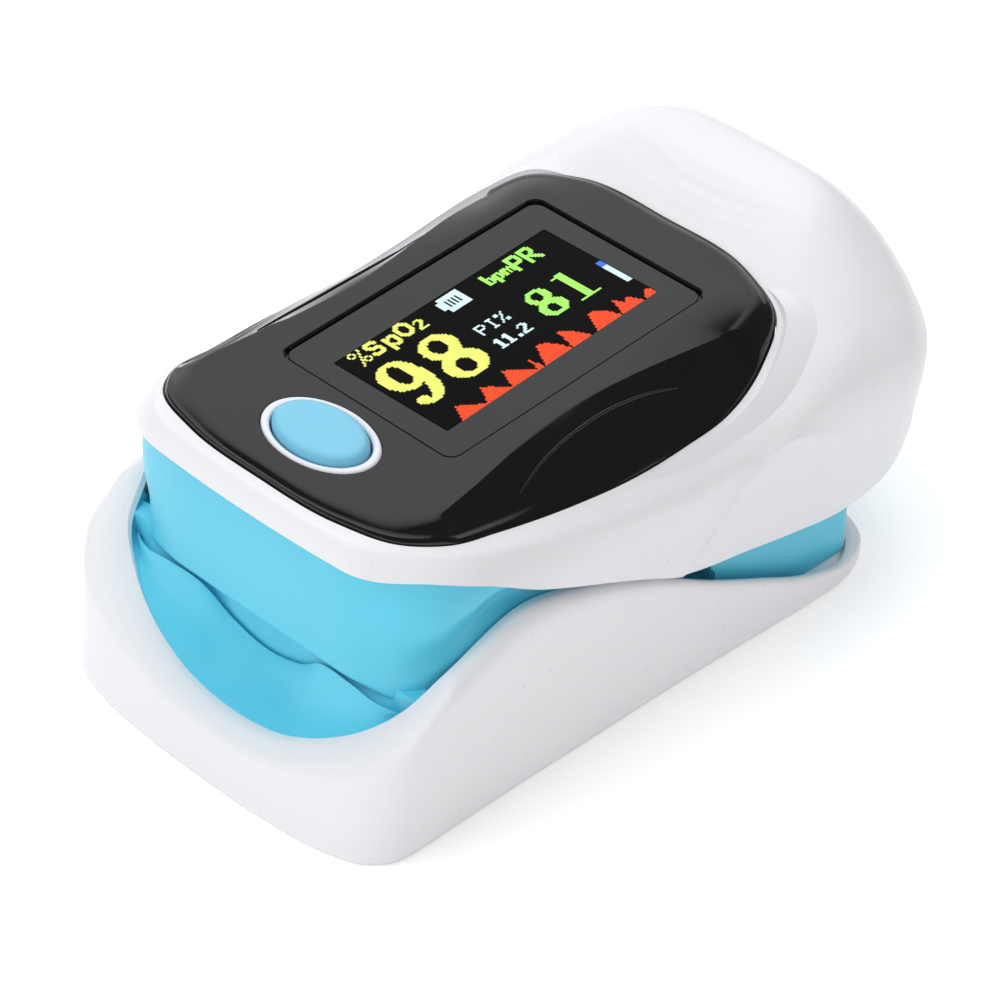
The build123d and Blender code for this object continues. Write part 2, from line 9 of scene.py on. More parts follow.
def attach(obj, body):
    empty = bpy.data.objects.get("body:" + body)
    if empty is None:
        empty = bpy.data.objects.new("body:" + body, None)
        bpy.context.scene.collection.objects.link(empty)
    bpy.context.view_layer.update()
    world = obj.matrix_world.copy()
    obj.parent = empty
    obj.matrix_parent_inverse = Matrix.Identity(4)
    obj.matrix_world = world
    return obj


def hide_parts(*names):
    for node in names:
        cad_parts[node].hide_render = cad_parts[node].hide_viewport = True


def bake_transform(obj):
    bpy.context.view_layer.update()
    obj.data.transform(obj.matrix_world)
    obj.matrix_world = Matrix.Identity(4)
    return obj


# Looks of the fingertip pulse oximeter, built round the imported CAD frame.
# Shapes are worked out in millimetres in the row frame and written to the meshes in metres.
# Lens coordinates have their origin at the display's centre: x across, y back along the lens
# plane, and height above that plane.

MM = 0.001

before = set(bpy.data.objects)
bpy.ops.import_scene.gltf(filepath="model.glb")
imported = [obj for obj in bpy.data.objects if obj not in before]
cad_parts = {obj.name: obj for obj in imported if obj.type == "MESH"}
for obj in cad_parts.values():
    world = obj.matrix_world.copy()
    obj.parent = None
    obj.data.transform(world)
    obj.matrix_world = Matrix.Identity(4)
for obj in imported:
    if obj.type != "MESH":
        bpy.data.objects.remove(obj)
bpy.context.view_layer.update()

# ---- driving dimensions
LENS_TILT = math.radians(2.2)  # the lens rises towards the rear
LENS_Y = -0.3  # the display's centre in the row frame
LENS_Z = 25.75
BUTTON_X = 0.2  # the button's centre in lens coordinates
BUTTON_Y = -17.9
SCREEN_X = 0.22  # the display sits this far right of the middle
SCREEN_TURN = math.radians(-1.0)  # and is turned this much in the lens plane
WALL = 1.0  # thickness of the upper shell
SEAM = 0.12  # gap between the lens and the shell round it
CREASE = 35  # degrees between two faces from which their edge is sharp
SQUARE = np.array([(-1, -1), (1, -1), (1, 1), (-1, 1)])
FLAT = np.array([1, 1, 0])  # keeps the plan of a point and drops its height


# ---- curves and grids
def smooth_step(low, high, value):
    """Rises smoothly from 0 at low to 1 at high."""
    t = np.clip((value - low) / (high - low), 0.0, 1.0)
    return t * t * (3 - 2 * t)


def spline(points, per_span, closed=False, corners=()):
    """Smooth line through points (axis 0), with a broken tangent at each corner index."""
    p = np.asarray(points, float)
    ahead = np.roll(p, -1, axis=0)
    length = np.linalg.norm(ahead - p, axis=-1, keepdims=True) + 1e-6
    slope = (ahead - p) / length
    length_before = np.roll(length, 1, axis=0)
    slope_before = np.roll(slope, 1, axis=0)
    leaving = (slope * length_before + slope_before * length) / (length + length_before)
    arriving = leaving.copy()
    ends = () if closed else (0, len(p) - 1)
    for i in (*corners, *ends):
        leaving[i] = slope[i]
        arriving[i] = slope_before[i]
    spans = len(p) if closed else len(p) - 1
    line = []
    for i in range(spans):
        j = (i + 1) % len(p)
        for t in np.arange(per_span) / per_span:
            line.append(
                (2 * t**3 - 3 * t**2 + 1) * p[i]
                + (t**3 - 2 * t**2 + t) * length[i] * leaving[i]
                + (3 * t**2 - 2 * t**3) * p[j]
                + (t**3 - t**2) * length[i] * arriving[j]
            )
    if not closed:
        line.append(p[-1])
    return np.array(line)


def rail(half, per_span, corners=()):
    """Closed line, alike on both sides, through points given from the front to the rear centre."""
    half = np.asarray(half, float)
    other = half[-2:0:-1] * (-1, *[1] * (half.shape[1] - 1))
    points = np.concatenate([half, other])
    both = [*corners, *[len(points) - i for i in corners]]
    return spline(points, per_span, closed=True, corners=both)


def height_line(points):
    """Function giving z at y, from a smooth line through (y, z) points."""
    line = spline(points, 12)
    return lambda y: np.interp(y, line[:, 0], line[:, 1])


def on_lens(x, y, height):
    """Row-frame points for lens coordinates."""
    x, y, height = np.broadcast_arrays(*[np.asarray(v, float) for v in (x, y, height)])
    return np.stack([
        x,
        LENS_Y + y * math.cos(LENS_TILT) - height * math.sin(LENS_TILT),
        LENS_Z + y * math.sin(LENS_TILT) + height * math.cos(LENS_TILT),
    ], axis=-1)


def on_screen(across, along, height):
    """Row-frame points for display coordinates, which are turned slightly in the lens plane."""
    turned_x = across * math.cos(SCREEN_TURN) + along * math.sin(SCREEN_TURN)
    turned_y = along * math.cos(SCREEN_TURN) - across * math.sin(SCREEN_TURN)
    return on_lens(SCREEN_X + turned_x, turned_y, height)


def unit(v):
    """Vectors of length one."""
    return v / np.linalg.norm(v, axis=-1, keepdims=True)


# ---- meshes
def add_mesh(name, points, faces):
    """An object in the scene from points in millimetres, with its faces turned outwards."""
    mesh = bpy.data.meshes.new(name)
    mesh.from_pydata([tuple(p) for p in np.asarray(points) * MM], [], faces)
    work = bmesh.new()
    work.from_mesh(mesh)
    bmesh.ops.remove_doubles(work, verts=work.verts, dist=1e-7)
    bmesh.ops.recalc_face_normals(work, faces=work.faces)
    work.to_mesh(mesh)
    work.free()
    thing = bpy.data.objects.new(name, mesh)
    bpy.context.scene.collection.objects.link(thing)
    return thing


def add_piece(name, points, faces, body, slot, nodes=(), material=None):
    """A piece of the look, riding on a CAD body if one is given, in its slot's material or its own."""
    piece = add_mesh(name, points, faces)
    piece.data.materials.append(material or SLOT_LOOKS[slot])
    shade(piece)
    if body:
        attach(piece, body)
    if nodes:
        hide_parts(*nodes)
    return piece


def shade(piece, sharp=CREASE):
    """Smooth shading, broken where faces meet at more than sharp degrees."""
    piece.data.shade_smooth()
    piece.data.set_sharp_from_angle(angle=math.radians(sharp))


def grid_faces(rows, columns, loop=False, caps=False):
    """Quads of a grid that closes round its columns; loop joins the last row to the first."""
    faces = []
    for i in range(rows if loop else rows - 1):
        a, b = i * columns, (i + 1) % rows * columns
        for j in range(columns):
            k = (j + 1) % columns
            faces.append((a + j, a + k, b + k, b + j))
    if caps:
        faces.append(tuple(range(columns)))
        faces.append(tuple(range((rows - 1) * columns, rows * columns)))
    return faces


def grid_piece(name, grid, body, slot, nodes=(), loop=False, caps=False):
    """A piece skinned over rows of points that each close into a ring."""
    rows, columns = grid.shape[:2]
    faces = grid_faces(rows, columns, loop, caps)
    return add_piece(name, grid.reshape(-1, 3), faces, body, slot, nodes)


def cut(piece, tool_points, tool_faces):
    """Takes a closed tool shape out of a piece."""
    tool = add_mesh("tool", tool_points, tool_faces)
    modifier = piece.modifiers.new("cut", "BOOLEAN")
    modifier.object = tool
    modifier.operation = "DIFFERENCE"
    modifier.solver = "EXACT"
    bake(piece)
    bpy.data.objects.remove(tool)
    shade(piece)


def bake(piece):
    """Applies a piece's modifiers to its mesh."""
    bpy.context.view_layer.update()
    evaluated = piece.evaluated_get(bpy.context.evaluated_depsgraph_get())
    mesh = bpy.data.meshes.new_from_object(evaluated)
    piece.modifiers.clear()
    old = piece.data
    piece.data = mesh
    bpy.data.meshes.remove(old)
    mesh.name = piece.name


def block(low, high):
    """Points and faces of an upright block."""
    across, along, up = zip(low, high)
    points = [(x, y, z) for x in across for y in along for z in up]
    faces = [(0, 1, 3, 2), (4, 6, 7, 5), (0, 4, 5, 1), (2, 3, 7, 6), (0, 2, 6, 4), (1, 5, 7, 3)]
    return points, faces


def circle(count):
    """Cosines and sines of evenly spaced angles round a circle."""
    angle = np.arange(count) * 2 * math.pi / count
    return np.cos(angle), np.sin(angle)


def round_bar(x, y, radius, low, high):
    """Points and faces of an upright round bar."""
    across, along = circle(32)
    ring = np.column_stack([x + radius * across, y + radius * along])
    points = [(*p, z) for z in (low, high) for p in ring]
    return points, grid_faces(2, len(ring), caps=True)


def oval_stack(rows):
    """Ovals round the button, from rows of half length, half width and height above the lens."""
    across, along = circle(96)
    return np.array([on_lens(BUTTON_X + a * across, BUTTON_Y + b * along, h) for a, b, h in rows])


# ---- materials
def set_inputs(node, values):
    """Sets a node's inputs by name."""
    for socket, value in values.items():
        node.inputs[socket].default_value = value


def noise(tree, scale, detail):
    """A noise texture in object space; scale is in cycles per metre."""
    place = tree.nodes.new("ShaderNodeTexCoord")
    texture = tree.nodes.new("ShaderNodeTexNoise")
    set_inputs(texture, {"Scale": scale, "Detail": detail, "Roughness": 0.55})
    tree.links.new(place.outputs["Object"], texture.inputs["Vector"])
    return texture.outputs["Fac"]


def spread(tree, value, low, high):
    """Maps a noise value onto a range."""
    node = tree.nodes.new("ShaderNodeMapRange")
    set_inputs(node, {"From Min": 0.3, "From Max": 0.7, "To Min": low, "To Max": high})
    tree.links.new(value, node.inputs["Value"])
    return node.outputs["Result"]


def mixed(tree, factor, first, second):
    """Mixes two colours; each is a plain colour or a socket."""
    mix = tree.nodes.new("ShaderNodeMix")
    mix.data_type = "RGBA"
    tree.links.new(factor, mix.inputs["Factor"])
    for socket, colour in (("A", first), ("B", second)):
        if isinstance(colour, bpy.types.NodeSocket):
            tree.links.new(colour, mix.inputs[socket])
        else:
            mix.inputs[socket].default_value = (*colour, 1)
    return mix.outputs["Result"]


def moulded(name, colour, rough, tint=0.03, grain=2600, bump=0.02, coat=0.0, sheen=0.0,
            subsurface=0.0, metallic=0.0, specular=0.5):
    """Moulded plastic, rubber or metal: mottled colour, uneven gloss and a fine surface grain.

    tint is how far the colour strays either way, and grain is the fineness of the surface in
    cycles per metre.
    """
    material = bpy.data.materials.new(name)
    material.use_nodes = True
    tree = material.node_tree
    shader = tree.nodes["Principled BSDF"]
    patches = noise(tree, 90, 3)
    fine = noise(tree, grain, 5)
    darker = [c * (1 - tint) for c in colour]
    paler = [min(1, c * (1 + tint)) for c in colour]
    mottled = mixed(tree, spread(tree, patches, 0, 1), darker, paler)
    tree.links.new(mottled, shader.inputs["Base Color"])
    tree.links.new(spread(tree, fine, rough * 0.85, rough * 1.15), shader.inputs["Roughness"])
    height = tree.nodes.new("ShaderNodeBump")
    set_inputs(height, {"Strength": bump, "Distance": 0.0001})
    tree.links.new(fine, height.inputs["Height"])
    tree.links.new(height.outputs["Normal"], shader.inputs["Normal"])
    set_inputs(shader, {
        "Coat Weight": coat, "Coat Roughness": 0.08, "Sheen Weight": sheen,
        "Subsurface Weight": subsurface, "Subsurface Radius": (0.002, 0.0016, 0.0014),
        "Metallic": metallic, "Specular IOR Level": specular,
    })
    return material


def lit(name, colour):
    """Glowing display cells, a little uneven in brightness."""
    material = moulded(name, [0.02 * c for c in colour], 0.4, specular=0.1)
    tree = material.node_tree
    shader = tree.nodes["Principled BSDF"]
    shader.inputs["Emission Color"].default_value = (*colour, 1)
    glow = spread(tree, noise(tree, 900, 2), 0.94, 1.06)
    tree.links.new(glow, shader.inputs["Emission Strength"])
    return material


def clear(name, colour, rough):
    """Clear moulded plastic or resin."""
    material = moulded(name, colour, rough, tint=0.02, bump=0.01)
    material.node_tree.nodes["Principled BSDF"].inputs["Transmission Weight"].default_value = 0.9
    return material


def paint_over(tree, where, colour):
    """Puts a second colour over a material's own, as far as the value says."""
    base = tree.nodes["Principled BSDF"].inputs["Base Color"]
    tree.links.new(mixed(tree, where, base.links[0].from_socket, colour), base)


def board(name, mask, copper):
    """Circuit board: solder mask with tracks showing through as a paler net of lines."""
    material = moulded(name, mask, 0.32, tint=0.08, coat=0.4)
    tree = material.node_tree
    place = tree.nodes.new("ShaderNodeTexCoord")
    tracks = tree.nodes.new("ShaderNodeTexBrick")
    black, white = (0, 0, 0, 1), (1, 1, 1, 1)
    set_inputs(tracks, {
        "Scale": 400, "Mortar Size": 0.05, "Color1": black, "Color2": black, "Mortar": white,
    })
    tree.links.new(place.outputs["Object"], tracks.inputs["Vector"])
    paint_over(tree, tracks.outputs["Color"], copper)
    return material


def wrapped_cell(name, body, band):
    """Battery sleeve: glossy dark film, with a coloured band beyond 12 mm from the middle."""
    material = moulded(name, body, 0.25, tint=0.05, coat=0.6)
    tree = material.node_tree
    place = tree.nodes.new("ShaderNodeTexCoord")
    axes = tree.nodes.new("ShaderNodeSeparateXYZ")
    tree.links.new(place.outputs["Object"], axes.inputs["Vector"])
    distance = tree.nodes.new("ShaderNodeMath")
    distance.operation = "ABSOLUTE"
    tree.links.new(axes.outputs["Y"], distance.inputs[0])
    beyond = tree.nodes.new("ShaderNodeMath")
    beyond.operation = "GREATER_THAN"
    beyond.inputs[1].default_value = 12 * MM
    tree.links.new(distance.outputs["Value"], beyond.inputs[0])
    paint_over(tree, beyond.outputs["Value"], band)
    return material


def metal(name, colour, rough, tint, grain, bump):
    """Bare or plated metal with a fine brushed or tumbled surface."""
    return moulded(name, colour, rough, tint=tint, grain=grain, bump=bump, metallic=1.0)


# The look of each material slot of the CAD nodes.
SLOT_LOOKS = {
    "shell_white": moulded("white_abs", (0.80, 0.80, 0.82), 0.32, tint=0.008, grain=1500, bump=0.012,
                           coat=0.12),
    "housing_blue": moulded("blue_abs", (0.10, 0.59, 0.79), 0.36, tint=0.02, grain=1800),
    "lens_black": moulded("black_acrylic", (0.004, 0.004, 0.0045), 0.08, tint=0.2, grain=1500, bump=0.01),
    "screen": moulded("display_glass", (0.001, 0.001, 0.0015), 0.3, tint=0.2, bump=0.0, specular=0.04),
    "button_blue": moulded("button_abs", (0.19, 0.55, 0.74), 0.34, tint=0.02),
    "bezel_white": moulded("collar_abs", (0.78, 0.80, 0.86), 0.28, tint=0.01),
    "foam_black": moulded("foam_rubber", (0.025, 0.025, 0.027), 0.95, tint=0.25, grain=5200, bump=0.6,
                          sheen=0.1),
    "pad_silicone": moulded("silicone_pad", (0.16, 0.42, 0.53), 0.55, tint=0.05, grain=3200, bump=0.12,
                            subsurface=0.12),
    "window_clear": clear("clear_window", (0.9, 0.93, 0.95), 0.06),
    "sensor_clear": clear("sensor_resin", (0.75, 0.45, 0.42), 0.12),
    "board_green": board("circuit_board", (0.02, 0.16, 0.06), (0.12, 0.36, 0.13)),
    "chip_black": moulded("chip_epoxy", (0.02, 0.02, 0.022), 0.6, tint=0.2, grain=6000, bump=0.15),
    "switch_metal": metal("switch_tin", (0.62, 0.62, 0.60), 0.34, 0.06, 4200, 0.06),
    "screw_steel": metal("screw_zinc", (0.58, 0.59, 0.62), 0.30, 0.10, 5200, 0.08),
    "pin_steel": metal("pin_steel", (0.55, 0.55, 0.56), 0.22, 0.06, 5200, 0.04),
    "contact_nickel": metal("contact_nickel", (0.66, 0.63, 0.56), 0.28, 0.08, 3800, 0.06),
    "cell_wrap": wrapped_cell("cell_sleeve", (0.03, 0.03, 0.035), (0.66, 0.36, 0.12)),
    "flex_amber": moulded("polyimide_film", (0.50, 0.22, 0.03), 0.28, tint=0.12, bump=0.05, coat=0.4),
}

# The display's colours.
GLOW = {
    "yellow": lit("yellow_light", (0.92, 1.0, 0.20)),
    "green": lit("green_light", (0.44, 1.0, 0.17)),
    "white": lit("white_light", (0.75, 0.97, 1.0)),
    "red": lit("red_light", (1.0, 0.085, 0.022)),
    "blue": lit("blue_light", (0.07, 0.2, 0.9)),
}


# ---- upper half, outer form
# Plan outline of the upper body at each height: height, front, rear, half width in front and
# behind, corner radius in front and behind.
UPPER_PLAN = np.array([
    (7.0, -24.9, 28.6, 16.9, 19.2, 6.6, 6.3),
    (14.0, -25.2, 29.7, 17.3, 20.3, 6.6, 6.6),
    (20.0, -25.2, 30.4, 17.4, 20.3, 6.6, 7.0),
    (22.0, -24.9, 30.6, 16.5, 19.0, 6.5, 7.4),
    (24.0, -24.4, 30.6, 14.7, 16.9, 6.4, 7.2),
    (27.0, -22.8, 29.7, 11.6, 13.0, 6.0, 6.4),
    (31.0, -19.8, 26.4, 7.6, 8.0, 5.0, 6.0),
])
FRONT_BOW = 0.9  # how far the ends bulge in the middle
REAR_BOW = 1.8
TAPER = 1.6  # above 1, the sides widen later
HUMP_Y = 26.4  # centre and radius of the roll-over at the rear
HUMP_Z = 24.6
HUMP_R = 5.0
EDGE_ROUNDING = (0.8, 0.9)  # rounding of the top's edge in front, and how much more behind
WIDER_ROUNDING = (10, 24)  # between these y it grows

# Right half of the lens edge in lens coordinates, with its drop below the lens plane.
LENS_EDGE = np.array([
    (0, -23.7, 0.6), (7.6, -23.3, 0.6), (12.3, -21.8, 0.7), (14.3, -19.0, 1.3), (15.0, -14.9, 2.2),
    (15.9, -8.2, 3.3), (16.2, -2.0, 4.2), (16.1, 3.3, 4.6), (16.0, 7.9, 4.5), (14.7, 13.2, 3.5),
    (12.9, 16.7, 1.9), (8.8, 18.3, 0.9), (0, 18.8, 0.6),
])
# Where the lens leaves its top, with the drop there; the flanks have the crisp edge of the scoops.
LENS_BREAK = np.array([
    (0, -22.7, 0), (6.8, -22.1, 0), (10.6, -20.6, 0), (12.6, -17.9, 0), (12.2, -14.6, 0),
    (11.25, -8.2, 0), (10.95, -3.5, 0), (11.5, 2.4, 0.05), (12.2, 7.3, 0.3), (12.6, 11.6, 0.8),
    (11.6, 15.0, 0.4), (8.4, 17.1, 0.1), (0, 17.6, 0),
])

# Lower edge of the upper shell's sides, (y, z) from front to rear.
upper_edge = height_line([
    (-27.0, 22.2), (-22.0, 22.3), (-19.3, 21.5), (-12.6, 18.0), (-2.9, 13.3), (2.6, 10.6),
    (9.1, 9.2), (14.0, 8.2), (19.6, 7.8), (25.2, 9.8), (28.0, 11.8), (31.5, 14.0),
])
# Swept line on each flank, (y, z) from front to rear.
swept_line = height_line([
    (2.2, 11.6), (4.4, 14.3), (6.7, 17.0), (8.7, 18.2), (11.5, 18.8), (14.1, 18.2), (17.5, 16.4),
    (23.1, 12.9),
])


def lens_plane(y):
    """Height of the lens plane above a place on the middle line."""
    return LENS_Z + (y - LENS_Y) * math.tan(LENS_TILT)


# Top of the body along the middle, (y, z): in the lens plane, then up onto the hump.
crown = height_line([
    (-40.0, lens_plane(-40.0)), (15.0, lens_plane(15.0)), (18.4, 26.55), (21.5, 28.1), (24.0, 29.3),
    (HUMP_Y, HUMP_Z + HUMP_R), (40.0, HUMP_Z + HUMP_R),
])
plan_table = spline(UPPER_PLAN, 12)


def plan_distance(x, y, front, rear, half_front, half_rear, r_front, r_rear):
    """Distance outside a tapered plan outline with bowed ends and rounded corners."""
    along = np.clip((y - front) / (rear - front), 0, 1)
    half = half_front + (half_rear - half_front) * along**TAPER
    radius = r_front + (r_rear - r_front) * along
    bulge = 1 - np.clip(x / half, -1, 1) ** 2
    beyond_side = np.abs(x) - (half - radius)
    beyond_front = front - FRONT_BOW * bulge + radius - y
    beyond_rear = y - (rear + REAR_BOW * bulge - radius)
    beyond_end = np.maximum(beyond_front, beyond_rear)
    outside = np.hypot(np.maximum(beyond_side, 0), np.maximum(beyond_end, 0))
    return outside + np.minimum(np.maximum(beyond_side, beyond_end), 0) - radius


def upper_form(p):
    """Negative inside the upper body, positive outside, in millimetres near its surface."""
    x, y, z = np.moveaxis(p, -1, 0)
    plan = [np.interp(z, plan_table[:, 0], plan_table[:, i]) for i in range(1, 7)]
    sides = plan_distance(x, y, *plan)
    behind = np.hypot(np.maximum(y - HUMP_Y, 0), np.maximum(z - HUMP_Z, 0)) - HUMP_R
    top = np.where(y < HUMP_Y, z - crown(y), behind)
    rounding = EDGE_ROUNDING[0] + EDGE_ROUNDING[1] * smooth_step(*WIDER_ROUNDING, y)
    return (sides + top + np.sqrt((sides - top) ** 2 + rounding**2)) / 2


def inner_form(p):
    """The same for the inside of the upper shell."""
    return upper_form(p) + WALL


def cast(form, origin, direction, reach=45.0):
    """Where each ray from inside leaves the form, found by halving."""
    low = np.zeros(origin.shape[:-1] + (1,))
    high = np.full(low.shape, reach)
    for _ in range(36):
        middle = (low + high) / 2
        inside = form(origin + direction * middle)[..., None] < 0
        low = np.where(inside, middle, low)
        high = np.where(inside, high, middle)
    return origin + direction * low


def lens_rim(gap=0.0):
    """The lens edge as a closed row-frame line, moved outwards by gap."""
    edge = rail(LENS_EDGE, 32)
    along = unit(np.roll(edge, -1, axis=0) - np.roll(edge, 1, axis=0))
    return on_lens(edge[:, 0] + gap * along[:, 1], edge[:, 1] - gap * along[:, 0], -edge[:, 2])


def even_columns(lens_line, body_line, count):
    """Positions spaced evenly over both lines together."""
    step = np.linalg.norm(np.roll(lens_line, -1, axis=0) - lens_line, axis=1)
    step += 2 * np.linalg.norm(np.roll(body_line, -1, axis=0) - body_line, axis=1)
    travelled = np.concatenate([[0], np.cumsum(step)])
    return np.interp(np.arange(count) / count * travelled[-1], travelled, np.arange(len(step) + 1))


def sample_closed(line, places):
    """Points of a closed line at fractional positions."""
    closed = np.concatenate([line, line[:1]])
    positions = np.arange(len(closed))
    return np.column_stack([np.interp(places, positions, closed[:, i]) for i in range(3)])


# The upper shell is cast outwards from a short line inside the body.
SPINE_FRONT = -15
SPINE_REAR = 12
SPINE_Z = 14.0
SHELL_COLUMNS = 264  # points round the shell
SHELL_ROWS = 110  # points from the lens opening down to the lower edge
OPENING_PULL = 0.35  # share of those rows that is drawn to the lens opening
SHELL_LIP = ((0.12, 0.14), (0.35, 0.2), (0.7, 0.18), (0.9, 0.0))  # how far inward and down
SEAT_DEPTHS = (1.1, 0.15)  # the lens seat's wall below the lens edge


def lower_edge(spine, level):
    """Where the skin meets the shell's lower edge in each level direction."""
    foot = cast(upper_form, spine, level)
    for _ in range(4):
        start = np.column_stack([spine[:, :2], upper_edge(foot[:, 1])])
        foot = cast(upper_form, start, level)
    return foot


def make_top_shell():
    """White upper shell: outer skin, rounded lower lip, inner skin and the lens opening."""
    rim = lens_rim(SEAM)
    middle = np.clip(rim[:, 1], SPINE_FRONT, SPINE_REAR)
    spine = np.column_stack([np.zeros(len(rim)), middle, np.full(len(rim), SPINE_Z)])
    outline = cast(upper_form, spine, unit((rim - spine) * FLAT))
    places = even_columns(rim, outline, SHELL_COLUMNS)
    rim, spine = sample_closed(rim, places), sample_closed(spine, places)
    level = unit((rim - spine) * FLAT)
    foot = lower_edge(spine, level)
    steps = np.linspace(0, 1, SHELL_ROWS)[:, None, None]
    directions = unit(unit(rim - spine) * (1 - steps) + unit(foot - spine) * steps)
    origins = np.broadcast_to(spine, directions.shape)
    outer = cast(upper_form, origins, directions)
    outer = outer + (rim - outer[0]) * (1 - smooth_step(0, OPENING_PULL, steps))
    outer = outer - directions * shell_relief(outer)[..., None]
    lip = [outer[-1] - level * inward - (0, 0, down) for inward, down in SHELL_LIP]
    # The inner skin runs back up and needs only every seventh row.
    inner = cast(inner_form, origins, directions)[-3::-7]
    seat = [rim - (0, 0, depth) for depth in SEAT_DEPTHS]
    grid = np.concatenate([outer, lip, inner, seat])
    grid_piece("top_shell", grid, "upper_half", "shell_white", ["top_shell"], loop=True)


# Relief of the upper shell: the flank is sunk a little below the swept line, which stands out
# as a ridge, and shallow grooves cross the slope behind the lens.
PANEL_SINK = 0.25
RIDGE_HEIGHT = 0.22
RIDGE_WIDTH = 0.4
PANEL_X = (12, 14)  # where the panel sets in, across and along, and where it fades out
PANEL_START = (1.8, 2.4)
PANEL_FADE = (13, 22)
GROOVE_DEPTH = 0.1
GROOVE_PITCH = 1.15
GROOVES_FROM = 20.5  # distance behind the display's centre, on lines that bow to the front
GROOVES_BOW = 0.02
GROOVES_START = (20.2, 20.8)
GROOVES_END = (24.6, 25.2)
GROOVES_X = (7, 10)  # where they run out to the sides
GROOVES_Z = (25, 26)


def shell_relief(p):
    """How far the upper shell's skin lies below its plain form."""
    x, y, z = np.moveaxis(p, -1, 0)
    on_flank = smooth_step(*PANEL_X, np.abs(x)) * smooth_step(*PANEL_START, y)
    on_flank = on_flank * (1 - smooth_step(*PANEL_FADE, y))
    slope = (swept_line(y + 0.1) - swept_line(y - 0.1)) / 0.2
    below = (swept_line(y) - z) / np.hypot(1, slope)
    ridge = RIDGE_HEIGHT * np.exp(-(((below + 0.1) / RIDGE_WIDTH) ** 2))
    panel = on_flank * (PANEL_SINK * smooth_step(0.0, 0.5, below) - ridge)
    behind = y - GROOVES_BOW * x**2
    on_top = smooth_step(*GROOVES_START, behind) * (1 - smooth_step(*GROOVES_END, behind))
    on_top = on_top * (1 - smooth_step(*GROOVES_X, np.abs(x))) * smooth_step(*GROOVES_Z, z)
    wave = 1 + np.cos((behind - GROOVES_FROM) * 2 * math.pi / GROOVE_PITCH)
    return panel + GROOVE_DEPTH / 2 * on_top * wave


# ---- lens, collar and button
PANEL = (9.0, 13.5, 1.0)  # half width, half length and corner radius of the sunk panel
SCREEN = (5.75, 11.2, 0.05)  # the same of the display's opening
PANEL_DEPTH = 0.25
LENS_UNDERSIDE = -1.7
BUTTON_HOLE = (5.3, 3.4)  # half length and half width

# Steps out from the display's opening, and then out of the sunk panel over its fine groove:
# how far outside the frame, and the height above the lens.
OPENING_STEPS = ((0.0, -0.9), (0.0, -PANEL_DEPTH - 0.08), (0.06, -PANEL_DEPTH), (1.0, -PANEL_DEPTH))
PANEL_STEPS = ((-0.5, -PANEL_DEPTH), (-0.26, -PANEL_DEPTH), (-0.22, -0.42), (-0.08, -0.42),
               (-0.02, -0.08), (0.06, 0.0), (0.5, 0.0))
TOP_STEPS = (0.2, 0.4, 0.6, 0.8, 0.95, 1.0)  # shares of the way to the top's edge
FLANK_STEPS = (0.03, 0.1, 0.2, 0.3, 0.4, 0.5, 0.6, 0.7, 0.8, 0.87, 0.92, 0.96, 0.985, 1.0)

SCOOP_X = (10, 12.3)  # where the finger scoops set in, across and along, and end
SCOOP_START = (-18.6, -17.0)
SCOOP_END = (11.0, 12.2)
RIM_BEAD = 0.2  # raised roll near the lens edge, and how far the edge then dips
RIM_DIP = 0.25


def frame_edge(heading, size, grow):
    """Where rays from the display's centre cross a round-cornered frame, grown on all sides."""
    half_x, half_y, radius = size

    def form(p):
        over_x = np.abs(p[..., 0]) - (half_x + grow - radius)
        over_y = np.abs(p[..., 1]) - (half_y + grow - radius)
        outside = np.hypot(np.maximum(over_x, 0), np.maximum(over_y, 0))
        return outside + np.minimum(np.maximum(over_x, over_y), 0) - radius

    return cast(form, np.zeros_like(heading), heading, 30.0)


def lens_flank(knee, knee_drop, edge, drop):
    """Rows from the top's edge to the lens edge: hollow in the scoops, plain elsewhere."""
    hollow = smooth_step(*SCOOP_X, np.abs(knee[:, 0])) * smooth_step(*SCOOP_START, knee[:, 1])
    hollow = hollow * (1 - smooth_step(*SCOOP_END, knee[:, 1]))
    rows = []
    for t in FLANK_STEPS:
        scoop = knee_drop + (drop + 0.1 - knee_drop) * (1 - (1 - t) ** 1.35)
        plain = knee_drop + (drop - knee_drop) * t**2.2
        fall = scoop * hollow + plain * (1 - hollow)
        roll = RIM_BEAD * np.exp(-((t - 0.88) / 0.10) ** 2) - RIM_DIP * smooth_step(0.95, 1.0, t)
        rows.append(on_lens(*(knee * (1 - t) + edge * t).T, -fall + roll))
    return rows


